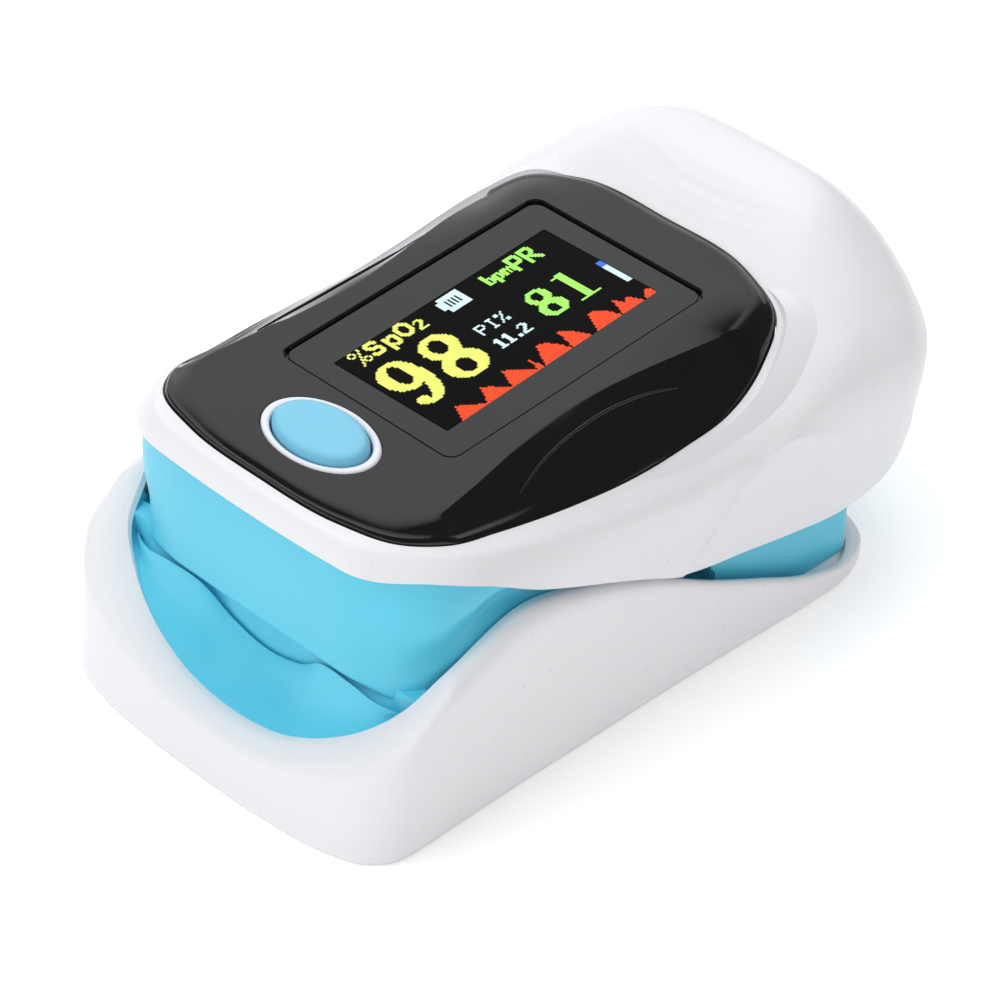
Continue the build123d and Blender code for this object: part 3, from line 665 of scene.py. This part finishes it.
def make_lens():
    """Black lens: sunk display panel, flat top, finger scoops on the flanks and a rolled rim."""
    edge_line = rail(LENS_EDGE, 24)
    edge, drop = edge_line[:, :2], edge_line[:, 2]
    knee_line = rail(LENS_BREAK, 24, corners=(3, 9))
    knee, knee_drop = knee_line[:, :2], knee_line[:, 2]
    heading = unit(knee)
    rows = [on_screen(*frame_edge(heading, SCREEN, grow).T, height) for grow, height in OPENING_STEPS]
    rows += [on_lens(*frame_edge(heading, PANEL, grow).T, height) for grow, height in PANEL_STEPS]
    panel_edge = frame_edge(heading, PANEL, PANEL_STEPS[-1][0])
    rows += [on_lens(*(panel_edge * (1 - t) + knee * t).T, -knee_drop * t**2) for t in TOP_STEPS]
    rows += lens_flank(knee, knee_drop, edge, drop)
    rows += [on_lens(*edge.T, -drop - depth) for depth in (0.6, 1.3)]
    rows.append(on_lens(*(knee * 0.9).T, LENS_UNDERSIDE))
    rows.append(on_screen(*frame_edge(heading, SCREEN, 0.0).T, LENS_UNDERSIDE))
    grid = np.array(rows)
    lens = grid_piece("lens_cover", grid, "upper_half", "lens_black", ["lens_cover"], loop=True)
    hole = oval_stack([(*BUTTON_HOLE, -3), (*BUTTON_HOLE, 1)])
    cut(lens, hole.reshape(-1, 3), grid_faces(*hole.shape[:2], caps=True))
    for side in (1, -1):
        lens_rib(lens, side)


# Thin raised arc inside the finger scoop, in lens coordinates with its drop.
SCOOP_RIB = np.array([
    (14.0, -11.4, 1.2), (13.0, -8.6, 1.0), (12.4, -4.0, 0.8), (12.5, 0.3, 0.9), (13.3, 3.4, 1.0),
    (14.3, 5.5, 1.2),
])
RIB_RADIUS = 0.14


def lens_rib(lens, side):
    """A fine raised line lying on the scoop's surface, tapered at both ends."""
    middle = []
    for x, y, drop in spline(SCOOP_RIB * (side, 1, 1), 10):
        nearest = lens.closest_point_on_mesh(Vector(on_lens(x, y, -drop)) * MM)[1]
        middle.append(np.array(nearest) / MM)
    middle = np.array(middle)
    along = unit(np.gradient(middle, axis=0))
    across = unit(np.cross(along, (0, 0, 1)))
    above = np.cross(across, along)
    radius = RIB_RADIUS * np.sin(np.linspace(0.05, math.pi - 0.05, len(middle))) ** 0.4
    section = list(zip(*circle(12)))
    grid = np.array([[m + r * (cosine * c + sine * u) for cosine, sine in section]
                     for m, r, c, u in zip(middle, radius, across, above)])
    name = "scoop_rib_right" if side > 0 else "scoop_rib_left"
    grid_piece(name, grid, "upper_half", "lens_black", caps=True)


# Rows round the button, from its middle or inside outwards: half length, half width, height.
COLLAR_ROWS = (
    (4.5, 2.85, -1.7), (4.5, 2.85, -0.05), (4.6, 2.95, 0.08), (4.8, 3.12, 0.14), (5.0, 3.2, 0.12),
    (5.16, 3.3, 0.04), (5.24, 3.36, -0.1), (5.24, 3.36, -1.7),
)
BUTTON_ROWS = (
    (0.3, 0.2, 0.75), (2.0, 1.2, 0.75), (3.2, 1.95, 0.74), (3.75, 2.25, 0.70), (4.02, 2.45, 0.6),
    (4.2, 2.6, 0.42), (4.28, 2.66, 0.2), (4.3, 2.68, -0.1), (4.3, 2.68, -1.8), (5.0, 3.25, -1.8),
    (5.0, 3.25, -2.05), (0.5, 0.3, -2.05),
)


def make_collar():
    """White ring round the button."""
    grid = oval_stack(COLLAR_ROWS)
    grid_piece("button_bezel", grid, "upper_half", "bezel_white", ["button_bezel"], loop=True)


def make_button():
    """Blue oval button with a flange that keeps it in."""
    grid = oval_stack(BUTTON_ROWS)
    grid_piece("power_button", grid, "button", "button_blue", ["power_button"], caps=True)


# Steps over the display glass: how far outside its opening, and the height above the lens.
GLASS_TOP = -0.27
GLASS_STEPS = ((-1.0, GLASS_TOP), (-0.05, GLASS_TOP), (0.0, -0.32), (0.0, LENS_UNDERSIDE),
               (-1.0, LENS_UNDERSIDE))


def make_display():
    """Dark display glass set in the sunk panel."""
    rows = []
    for grow, height in GLASS_STEPS:
        rows.append(on_screen(*(SQUARE * (np.array(SCREEN[:2]) + grow)).T, height))
    grid = np.array(rows)
    grid_piece("display_window", grid, "upper_half", "screen", ["display_window"], caps=True)


# ---- display content
# The display is a grid of cells: columns run back along the body and rows towards its right.
CELL = 0.175
SCREEN_COLUMNS = 128
SCREEN_ROWS = 66
CELL_HEIGHTS = (-0.29, -0.262)  # bottom and top of a lit cell, just proud of the glass

# Characters as rows of cells; the small ones are those of the side readings.
LETTERS = {
    "%": "01100010 10010010 10010100 01100100 00001000 00001000 "
         "00010110 00011001 00101001 00100110 01000000",
    "S": "0111110 1111111 1100011 1110000 0111110 0011111 0000011 1100011 1111111 0111110",
    "p": "1101110 1111111 1110011 1100011 1100011 1110011 1111111 1101110 1100000 1100000",
    "O": "00111100 01111110 11100111 11000011 11000011 11000011 11000011 11100111 01111110 00111100",
    "P": "1111110 1111111 1100011 1100011 1100011 1111111 1111110 1100000 1100000 1100000 1100000",
    "R": "11111100 11111110 11000110 11000110 11001110 11111100 "
         "11111000 11011100 11001110 11000111 11000011",
    "b": "11000 11000 11000 11110 11011 11011 11011 11110",
    "small p": "11110 11011 11011 11011 11110 11000 11000",
    "m": "111010 111111 110101 110101 110101",
    "I": "01110 00100 00100 00100 00100 00100 01110",
    "small P": "11110 10001 10001 11110 10000 10000 10000",
    "small %": "11001 11010 00010 00100 01000 01011 10011",
    "1": "0110 1110 0110 0110 0110 0110 1111",
    "2": "01110 10011 00011 00110 01100 11000 11111",
    ".": "00 00 00 00 00 11 11",
}

# Labels as character, first column, first row and colour: %SpO2, bpm, PR, PI% and 11.2.
LABELS = (
    ("%", 6, 0, "yellow"), ("S", 15, 0, "yellow"), ("p", 24, 3, "yellow"), ("O", 32, 0, "yellow"),
    ("2", 41, 4, "yellow"), ("b", 83, 3, "green"), ("small p", 88, 6, "green"), ("m", 93, 6, "green"),
    ("P", 99, 2, "green"), ("R", 107, 2, "green"), ("small P", 56, 26, "white"), ("I", 62, 26, "white"),
    ("small %", 68, 26, "white"), ("1", 55, 38, "white"), ("1", 60, 38, "white"),
    (".", 66, 38, "white"), ("2", 69, 38, "white"),
)
# Beats of the pulse trace: first column, peak, last column, height in cells and how late it falls.
BEATS = (
    (9, 13, 24, 9.5, 1.2), (24, 29, 39, 10.5, 1.2), (39, 43, 55, 11.3, 1.3), (55, 56, 58, 8, 1.0),
    (59, 65, 75, 12.7, 2.4), (76, 78, 87, 12.7, 1.8), (91, 96, 106, 11.6, 2.8),
    (107, 110, 115, 10.6, 1.5), (110, 115, 120, 7.8, 1.8), (121, 125, 130, 5.7, 1.5),
)


def in_oval(x, y, cx, cy, a, b):
    """Whether a place is inside an oval with this centre and these half axes."""
    return ((x - cx) / a) ** 2 + ((y - cy) / b) ** 2 < 1


def eight(x, y):
    """Numeral 8 in a unit cell, measured from its top left, with thick and thin strokes."""
    body = in_oval(x, y, 0.51, 0.26, 0.44, 0.27) or in_oval(x, y, 0.5, 0.73, 0.5, 0.285)
    holes = in_oval(x, y, 0.49, 0.245, 0.19, 0.155) or in_oval(x, y, 0.475, 0.76, 0.2, 0.155)
    return body and not holes


def nine(x, y):
    """Numeral 9: a bowl, a stroke that sweeps round to the foot, and a ball there."""
    bowl = in_oval(x, y, 0.47, 0.31, 0.48, 0.32) and not in_oval(x, y, 0.48, 0.3, 0.19, 0.225)
    sweep = in_oval(x, y, 0.42, 0.5, 0.58, 0.51) and not in_oval(x, y, 0.25, 0.47, 0.45, 0.47)
    ball = in_oval(x, y, 0.26, 0.87, 0.16, 0.09)
    return bowl or (sweep and x > 0.3 and y > 0.3) or ball


def one(x, y):
    """Numeral 1 with a flag and a foot."""
    stem = 0.34 < x < 0.7 and y < 0.96
    flag = 0.03 < x < 0.6 and 0.09 - 0.16 * x < y < 0.09
    foot = 0.02 < x < 0.99 and y > 0.95
    return stem or flag or foot


# Numerals as shape, first column, first row, width and height in cells and colour.
NUMERALS = (
    (nine, 3, 16, 20, 33, "yellow"), (eight, 27, 16, 21, 33, "yellow"),
    (eight, 84, 26, 14, 20, "green"), (one, 102, 26, 12, 21, "green"),
)


def pulse_height(column):
    """Height in cells of the pulse trace."""
    height = 0.0
    for start, peak, end, tall, late in BEATS:
        if start <= column <= peak:
            height = max(height, tall * (column - start + 0.7) / (peak - start + 0.7))
        elif peak < column < end:
            height = max(height, tall * (1 - ((column - peak) / (end - peak)) ** late))
    return height


def cells_of(columns, rows):
    """All cells in a block of columns and rows."""
    return {(column, row) for column in columns for row in rows}


def cell_symbol():
    """Battery symbol: a filled outline with its nub to the front and four gauge bars left out."""
    body = cells_of(range(59, 71), range(1, 12))
    nub = cells_of(range(57, 59), range(3, 9))
    gauge = cells_of(range(61, 69, 2), range(4, 9))
    return (body | nub) - gauge


def screen_image():
    """Lit cells (column, row) of the display for each colour."""
    cells = {colour: set() for colour in GLOW}
    for letter, left, top, colour in LABELS:
        for row, line in enumerate(LETTERS[letter].split()):
            cells[colour] |= {(left + i, top + row) for i, mark in enumerate(line) if mark == "1"}
    for shape, left, top, width, height, colour in NUMERALS:
        for column, row in cells_of(range(width), range(height)):
            if shape((column + 0.5) / width, (row + 0.5) / height):
                cells[colour].add((left + column, top + row))
    for column, row in cells_of(range(SCREEN_COLUMNS), range(SCREEN_ROWS)):
        if SCREEN_ROWS - row <= pulse_height(column):
            cells["red"].add((column, row))
    last_columns = range(125, SCREEN_COLUMNS)
    cells["white"] |= cell_symbol() | cells_of(last_columns, range(37, 52))
    cells["blue"] |= cells_of(last_columns, range(33, 37))
    return cells


def make_screen_image():
    """A thin slab over each run of lit cells in a row, one piece for each colour."""
    bottom, top = CELL_HEIGHTS
    for colour, cells in screen_image().items():
        points, faces = [], []
        for row in range(SCREEN_ROWS):
            across = row * CELL - SCREEN[0]
            lit_columns = sorted(column for column, r in cells if r == row)
            starts = [column for column in lit_columns if (column - 1, row) not in cells]
            ends = [column + 1 for column in lit_columns if (column + 1, row) not in cells]
            for start, end in np.column_stack([starts, ends]) * CELL - SCREEN[1]:
                corners, box_faces = block((across, start, bottom), (across + CELL, end, top))
                faces += [tuple(len(points) + i for i in face) for face in box_faces]
                points += [on_screen(*corner) for corner in corners]
        add_piece("screen_" + colour, points, faces, "upper_half", "screen", material=GLOW[colour])


# ---- lower shell
# Rails of the lower shell, half of each from the front to the rear centre: the crest of its
# lip, where the lip starts to roll over, and the foot of the flanks.
LIP_TOP = np.array([
    (0, -27.7, 4.7), (5, -27.6, 5.3), (9.7, -26.9, 7.3), (13.0, -25.7, 9.5), (15.2, -24.3, 11.8),
    (16.5, -21.4, 14.4), (16.6, -14.1, 16.4), (16.8, -7.8, 14.9), (17.2, -1.2, 12.0), (17.7, 5.7, 8.0),
    (18.0, 11, 5.3), (18.3, 16.6, 2.7), (18.3, 20.5, 1.75), (16.4, 23.4, 1.6), (9, 26.0, 1.6),
    (0, 27.2, 1.6),
])
LIP_FOOT = np.array([
    (0, -29.9, 3.5), (6.0, -29.8, 4.0), (11.6, -29.2, 5.6), (15.4, -28.0, 7.8), (17.5, -25.9, 10.4),
    (17.9, -22.4, 13.0), (17.9, -14.1, 14.3), (17.9, -7.8, 13.4), (18.0, -1.2, 10.8), (18.2, 5.7, 7.0),
    (18.5, 11, 4.4), (18.7, 16.6, 2.0), (18.6, 20.5, 1.2), (17.0, 24.0, 1.1), (9.4, 26.6, 1.1),
    (0, 27.8, 1.1),
])
BASE = np.array([
    (0, -31.0, 0.9), (6.2, -30.8, 0.9), (12.0, -30.1, 0.9), (15.5, -28.8, 0.9), (16.9, -27.0, 0.9),
    (17.2, -25.2, 0.9), (17.4, -14.1, 0.9), (17.6, -7.8, 0.9), (17.8, -1.2, 0.9), (18.1, 5.7, 0.9),
    (18.4, 11, 0.9), (18.7, 16.6, 0.6), (18.6, 20.5, 0.5), (17.0, 24.0, 0.5), (9.4, 26.6, 0.5),
    (0, 27.8, 0.5),
])
LOWER_CORNER = 5  # the point of those rails that is a crisp corner
FLANK_SHARES = (0.25, 0.5, 0.75, 0.97)
LIP_ANGLES = np.radians((12, 25, 40, 55, 70, 82, 90))
LOWER_WALL = 1.3
LOWER_FLOOR = 1.5  # thickness of the floor

# The battery bay's opening and the screws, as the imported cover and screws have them.
BAY_HALF = 12.1
BAY_FRONT = -20.1
GROOVE_Z = (0.45, 0.95)  # bottom and top of the grooves for the cover's rails
LOWER_SCREWS = ((-14.4, -16.0), (14.4, -16.0), (-14.6, 14.0), (14.6, 14.0))
SCREW_HEAD_HOLE = 1.5
SCREW_HOLE = 0.9
HEAD_HOLE_TOP = 0.95


def rolled_lip(top, foot):
    """Rows of a quarter turn that rises from the flank and leans in to the crest."""
    rows = []
    for angle in LIP_ANGLES:
        cosine, sine = math.cos(angle), math.sin(angle)
        leaning = top * (1 - cosine) + foot * cosine
        rows.append(leaning + (top - foot) * (0, 0, 1) * (sine - 1 + cosine))
    return rows


def make_lower_shell():
    """White lower shell: rolled lip round the front, flat flanks, thin rear and a floor."""
    base, foot, top = [rail(points, 12, (LOWER_CORNER,)) for points in (BASE, LIP_FOOT, LIP_TOP)]
    inward = -unit(top * (1, 0.25, 0))
    ground = base * FLAT
    outer = [ground + inward * 0.35, ground + inward * 0.12 + (0, 0, 0.25), base]
    outer += [base * (1 - t) + foot * t for t in FLANK_SHARES]
    outer += [foot, *rolled_lip(top, foot)]
    inner = [
        top + inward * 0.45 - (0, 0, 0.12),
        top + inward * 0.75 - (0, 0, 0.6),
        np.column_stack([foot[:, :2], np.maximum(foot[:, 2], LOWER_FLOOR)]) + inward * LOWER_WALL,
        ground + inward * (LOWER_WALL + 0.15) + (0, 0, LOWER_FLOOR),
    ]
    opening = np.column_stack([
        np.clip(base[:, 0], -BAY_HALF, BAY_HALF), np.maximum(base[:, 1], BAY_FRONT), np.zeros(len(base))])
    grid = np.array([*outer, *inner, opening + (0, 0, LOWER_FLOOR), opening])
    shell = grid_piece("lower_shell", grid, "lower_half", "shell_white", ["lower_shell"], loop=True)
    behind = 40
    cut(shell, *block((-BAY_HALF, BAY_FRONT + 3, -1), (BAY_HALF, behind, 5)))
    half, front = BAY_HALF + 0.5, BAY_FRONT + 1.6
    cut(shell, *block((-half, front, GROOVE_Z[0]), (half, behind, GROOVE_Z[1])))
    for x, y in LOWER_SCREWS:
        cut(shell, *round_bar(x, y, SCREW_HEAD_HOLE, -1.0, HEAD_HOLE_TOP))
        cut(shell, *round_bar(x, y, SCREW_HOLE, -1.0, 3.0))


# ---- blue housings
def cad_copy(name, node, body, slot, away=()):
    """A copy of a CAD node's mesh, with blocks taken away, standing for the node."""
    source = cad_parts[node]
    points = [Vector(v.co) / MM for v in source.data.vertices]
    faces = [tuple(face.vertices) for face in source.data.polygons]
    piece = add_piece(name, points, faces, body, slot, [node])
    for low, high in away:
        cut(piece, *block(low, high))
    return piece


def join(main, other):
    """Makes one piece of two that touch."""
    work = bmesh.new()
    for piece in (main, other):
        work.from_mesh(piece.data)
    work.to_mesh(main.data)
    work.free()
    bpy.data.objects.remove(other)


def open_rail(half):
    """Line from side to side through the front, from points given from the front centre back."""
    other = half[:0:-1] * (-1, 1, 1)
    return spline(np.concatenate([other, half]), 8)


# Outer wall of the upper housing, from the front centre to the side's rear end. Each row of
# the wall is a height at every point of the plan, and how far inside the plan it lies there.
WALL_PLAN = np.array([
    (0, -24.7), (5.2, -24.65), (10.2, -24.3), (13.5, -23.3), (15.3, -21.6), (15.9, -19.3), (16.1, -16),
    (16.2, -11), (16.3, -5), (16.4, 1), (16.6, 5),
])
NO_DEPTH = (0,) * len(WALL_PLAN)
WALL_TOP = (22.9, 22.9, 22.9, 22.8, 22.6, 22.2, 21.2, 18.6, 15.8, 12.8, 11.4)
TOP_DEPTH = (0.3, 0.3, 0.3, 0.6, 0.8, 0.8, 0.4, 0, 0, 0, 0)
FOLD_TOP = (17.0, 17.0, 17.0, 17.2, 17.6, 18.2, 18.8, 17.3, 14.7, 12.1, 10.6)
FOLD = (14.0, 14.0, 14.0, 14.2, 15.2, 16.6, 17.4, 16.3, 14.1, 11.6, 10.2)
FOLD_DEPTH = (0, 0, 0, 0.3, 0.8, 1.0, 1.0, 0.7, 0.4, 0.1, 0)
FLARE = (12.3, 12.3, 12.2, 12.0, 13.0, 14.8, 15.9, 15.3, 13.3, 10.9, 9.6)
FLARE_DEPTH = (0, 0, 0, 0.2, 0.35, 0.35, 0.3, 0.2, 0.1, 0, 0)
WALL_FOOT = (11.7, 11.7, 11.45, 10.9, 10.3, 11.6, 13.2, 13.4, 11.8, 10.2, 9.0)
FOOT_DEPTH = (0, 0, 0, 0.2, 0.5, 0.5, 0.45, 0.3, 0.2, 0, 0)
FOOT_LIP = ((0.07, 0.07), (0, 0.25), (0, 0.9), (0.2, 1.1))  # rise and depth of the rounded edge
HOUSING_WALL = 1.1
SIDE_STARTS = -18  # the sides of the plan look straight inward behind this
# Blocks of the CAD housing that this wall stands in for: the mouth, the front and both sides.
MOUTH_REAR = -2.4
UPPER_AWAY = (
    ((-25, -30, 5), (25, MOUTH_REAR - 0.05, 17.75)),
    ((-25, -30, 5), (25, -21.5, 30)),
    ((13.6, -22, 17), (25, MOUTH_REAR, 30)),
    ((-25, -22, 17), (-13.6, MOUTH_REAR, 30)),
)


def wall_rail(heights, depths, rise=0.0, deeper=0.0):
    """One row of the upper housing's wall, raised and moved inward by the same amount all along."""
    in_front = np.column_stack([np.ones(len(WALL_PLAN)), WALL_PLAN[:, 1] < SIDE_STARTS])
    inward = unit(-WALL_PLAN * in_front)
    inward[:3] = (0, 1)  # the front is nearly straight
    plan = WALL_PLAN + inward * (np.array(depths) + deeper)[:, None]
    return open_rail(np.column_stack([plan, np.array(heights) + rise]))


def make_upper_housing():
    """Blue housing of the upper half: CAD ceiling and ears with a smoothly folded outer wall."""
    outer = spline([
        wall_rail(WALL_TOP, TOP_DEPTH), wall_rail(FOLD_TOP, NO_DEPTH), wall_rail(FOLD, FOLD_DEPTH),
        wall_rail(FLARE, FLARE_DEPTH), wall_rail(WALL_FOOT, FOOT_DEPTH, rise=0.25),
    ], 5)
    lip = [wall_rail(WALL_FOOT, FOOT_DEPTH, rise, deeper) for rise, deeper in FOOT_LIP]
    back = wall_rail(WALL_TOP, TOP_DEPTH, deeper=HOUSING_WALL)
    grid = np.array([*outer, *lip, back]).transpose(1, 0, 2)
    wall = grid_piece("upper_wall", grid, "upper_half", "housing_blue", caps=True)
    inside = cad_copy("upper_housing", "upper_housing", "upper_half", "housing_blue", UPPER_AWAY)
    join(inside, wall)


# Rails of the chin, half of each from the front centre to the side: its foot behind the white
# lip, and the rim of its bowl.
CHIN_EDGE = np.array([
    (0, -27.5, 4.6), (3.5, -27.45, 4.85), (7, -27.2, 5.85), (9.7, -26.7, 7.15), (12.8, -25.5, 9.2),
    (14.9, -24.0, 11.2), (15.8, -21.8, 13.2),
])
CHIN_RIM = np.array([
    (0, -23.9, 8.2), (3.5, -23.95, 8.95), (6.6, -24.4, 11.0), (9.7, -24.7, 11.35), (12.6, -24.5, 10.95),
    (14.6, -23.4, 10.7), (15.5, -21.4, 11.6),
])
BOWL_SAG = (0, 0.35, -0.5)  # how far the bowl sags between foot and rim
LEDGE_FRONT = -23.4  # the ledge behind the rim, above the batteries
LEDGE_REAR = -21.9
LEDGE_Z = 12.25
POCKET_Y = -23.05  # the space under the ledge for the contacts and cells
POCKET_Z = 11.95
LOWER_AWAY = (((-25, -35, -2), (25, -22.0, 20)),)  # the CAD housing's own front


def make_lower_housing():
    """Blue housing of the lower half: CAD trough and battery bay with a bowl-shaped chin."""
    edge, rim = open_rail(CHIN_EDGE), open_rail(CHIN_RIM)
    hidden = edge + (0, 1.0, -1.8)
    bowl = [edge * (1 - t) + rim * t + np.array(BOWL_SAG) * math.sin(math.pi * t)
            for t in np.linspace(0, 0.94, 9)]

    def step(y, heights, least):
        return np.column_stack([rim[:, 0], np.full(len(rim), y), np.maximum(heights, least)])

    ledge = [
        rim + (0, 0.1, 0.0), rim + (0, 0.25, -0.1), rim + (0, 0.35, -0.8),
        step(LEDGE_FRONT, rim[:, 2], 10.5), step(LEDGE_FRONT + 0.15, rim[:, 2], LEDGE_Z - 0.15),
        step(LEDGE_REAR, rim[:, 2], LEDGE_Z),
    ]
    pocket = [
        step(LEDGE_REAR, hidden[:, 2], POCKET_Z), step(POCKET_Y, hidden[:, 2], POCKET_Z),
        step(POCKET_Y, hidden[:, 2], 0),
    ]
    grid = np.array([hidden, *bowl, *ledge, *pocket]).transpose(1, 0, 2)
    chin = grid_piece("chin", grid, "lower_half", "housing_blue", caps=True)
    inside = cad_copy("lower_housing", "lower_housing", "lower_half", "housing_blue", LOWER_AWAY)
    join(inside, chin)


# ---- soft pads and ribbon
def soften(name, node, body, slot, voxel, rounds):
    """A soft part: its CAD solid in small faces, relaxed until the edges are round."""
    piece = cad_copy(name, node, body, slot)
    remesh = piece.modifiers.new("fill", "REMESH")
    remesh.mode = "VOXEL"
    remesh.voxel_size = voxel * MM
    relax = piece.modifiers.new("relax", "SMOOTH")
    relax.factor = 0.5
    relax.iterations = rounds
    bake(piece)
    piece.data.materials.clear()
    piece.data.materials.append(SLOT_LOOKS[slot])
    shade(piece, 60)


def make_flex_ribbon():
    """The ribbon between the halves, copied from its CAD node and left where it stands."""
    ribbon = cad_copy("flex_ribbon", "flex_cable", None, "flex_amber")
    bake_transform(ribbon)


# ---- stage
FLOOR_HALF = 0.8  # half the floor's side
BRIGHT_PATCH = (-0.62, 0.52, 0.58)  # direction of the bright part of the surroundings

# Lights as name, place, target, side of the square and power.
LIGHTS = (
    ("top_softbox", (0.0, 0.0, 0.7), (0, 0, 0), 0.9, 4.2),
    ("front_softbox", (-0.22, -0.58, 0.36), (0, 0, 0.01), 0.5, 1.8),
    ("side_softbox", (0.60, -0.25, 0.25), (0, 0, 0.01), 0.5, 0.75),
)


def studio_sky():
    """Dim surroundings with one broad bright patch behind and to the left, for the lens to mirror."""
    world = bpy.data.worlds.new("studio")
    bpy.context.scene.world = world
    world.use_nodes = True
    tree = world.node_tree
    background = tree.nodes["Background"]
    place = tree.nodes.new("ShaderNodeTexCoord")
    along = tree.nodes.new("ShaderNodeVectorMath")
    along.operation = "DOT_PRODUCT"
    along.inputs[1].default_value = Vector(BRIGHT_PATCH).normalized()
    tree.links.new(place.outputs["Generated"], along.inputs[0])
    fade = tree.nodes.new("ShaderNodeMapRange")
    fade.interpolation_type = "SMOOTHSTEP"
    set_inputs(fade, {"From Min": 0.66, "From Max": 0.92, "To Min": 0.16, "To Max": 1.15})
    tree.links.new(along.outputs["Value"], fade.inputs["Value"])
    background.inputs["Color"].default_value = (0.97, 0.98, 1.0, 1)
    tree.links.new(fade.outputs["Result"], background.inputs["Strength"])


def make_floor():
    """Pale floor that glows a little, so that it stays white to the edges."""
    mesh = bpy.data.meshes.new("floor")
    mesh.from_pydata([(x, y, 0) for x, y in SQUARE * FLOOR_HALF], [], [(0, 1, 2, 3)])
    floor = bpy.data.objects.new("floor", mesh)
    bpy.context.scene.collection.objects.link(floor)
    paper = moulded("floor_paper", (0.93, 0.93, 0.93), 0.9, tint=0.004, bump=0.01, specular=0.1)
    glow = {"Emission Color": (1, 1, 1, 1), "Emission Strength": 0.2}
    set_inputs(paper.node_tree.nodes["Principled BSDF"], glow)
    mesh.materials.append(paper)


def add_light(name, place, target, size, power):
    """Square soft light that lights the surfaces but isn't mirrored in them."""
    data = bpy.data.lights.new(name, "AREA")
    data.shape = "SQUARE"
    data.size = size
    data.energy = power
    lamp = bpy.data.objects.new(name, data)
    lamp.location = place
    lamp.visible_glossy = False
    lamp.rotation_euler = (Vector(target) - Vector(place)).to_track_quat("-Z", "Y").to_euler()
    bpy.context.scene.collection.objects.link(lamp)


CAMERA_PLACE = (0.16674, -0.17212, 0.19949)
CAMERA_RIGHT = (0.7117, 0.7024, 0.0137)
CAMERA_UP = (-0.4449, 0.4356, 0.7825)
CAMERA_BACK = (0.5436, -0.5630, 0.6225)
CAMERA_LENS = 144
CAMERA_FRAME = 36


def make_camera():
    """Camera at the front right, looking down, with its level line turned by 1 degree."""
    data = bpy.data.cameras.new("camera")
    data.lens = CAMERA_LENS
    data.sensor_width = CAMERA_FRAME
    data.clip_start = 0.01
    camera = bpy.data.objects.new("camera", data)
    turn = Matrix((CAMERA_RIGHT, CAMERA_UP, CAMERA_BACK)).transposed().to_4x4()
    camera.matrix_world = Matrix.Translation(CAMERA_PLACE) @ turn
    bpy.context.scene.collection.objects.link(camera)
    bpy.context.scene.camera = camera


def dress_cad_nodes():
    """Gives the look of its slot to each CAD node that stays in view."""
    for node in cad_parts.values():
        for place in node.material_slots:
            for slot, look in SLOT_LOOKS.items():
                if place.material and slot in place.material.name:
                    place.material = look


make_top_shell()
make_lens()
make_collar()
make_button()
make_display()
make_screen_image()
make_lower_shell()
make_upper_housing()
make_lower_housing()
soften("gasket_foam", "display_gasket", "upper_half", "foam_black", 0.14, 3)
soften("upper_pad", "upper_finger_pad", "upper_half", "pad_silicone", 0.25, 6)
soften("lower_pad", "lower_finger_pad", "lower_half", "pad_silicone", 0.25, 6)
make_flex_ribbon()
make_floor()
studio_sky()
for light in LIGHTS:
    add_light(*light)
bpy.context.scene.view_settings.view_transform = "Standard"
make_camera()
dress_cad_nodes()
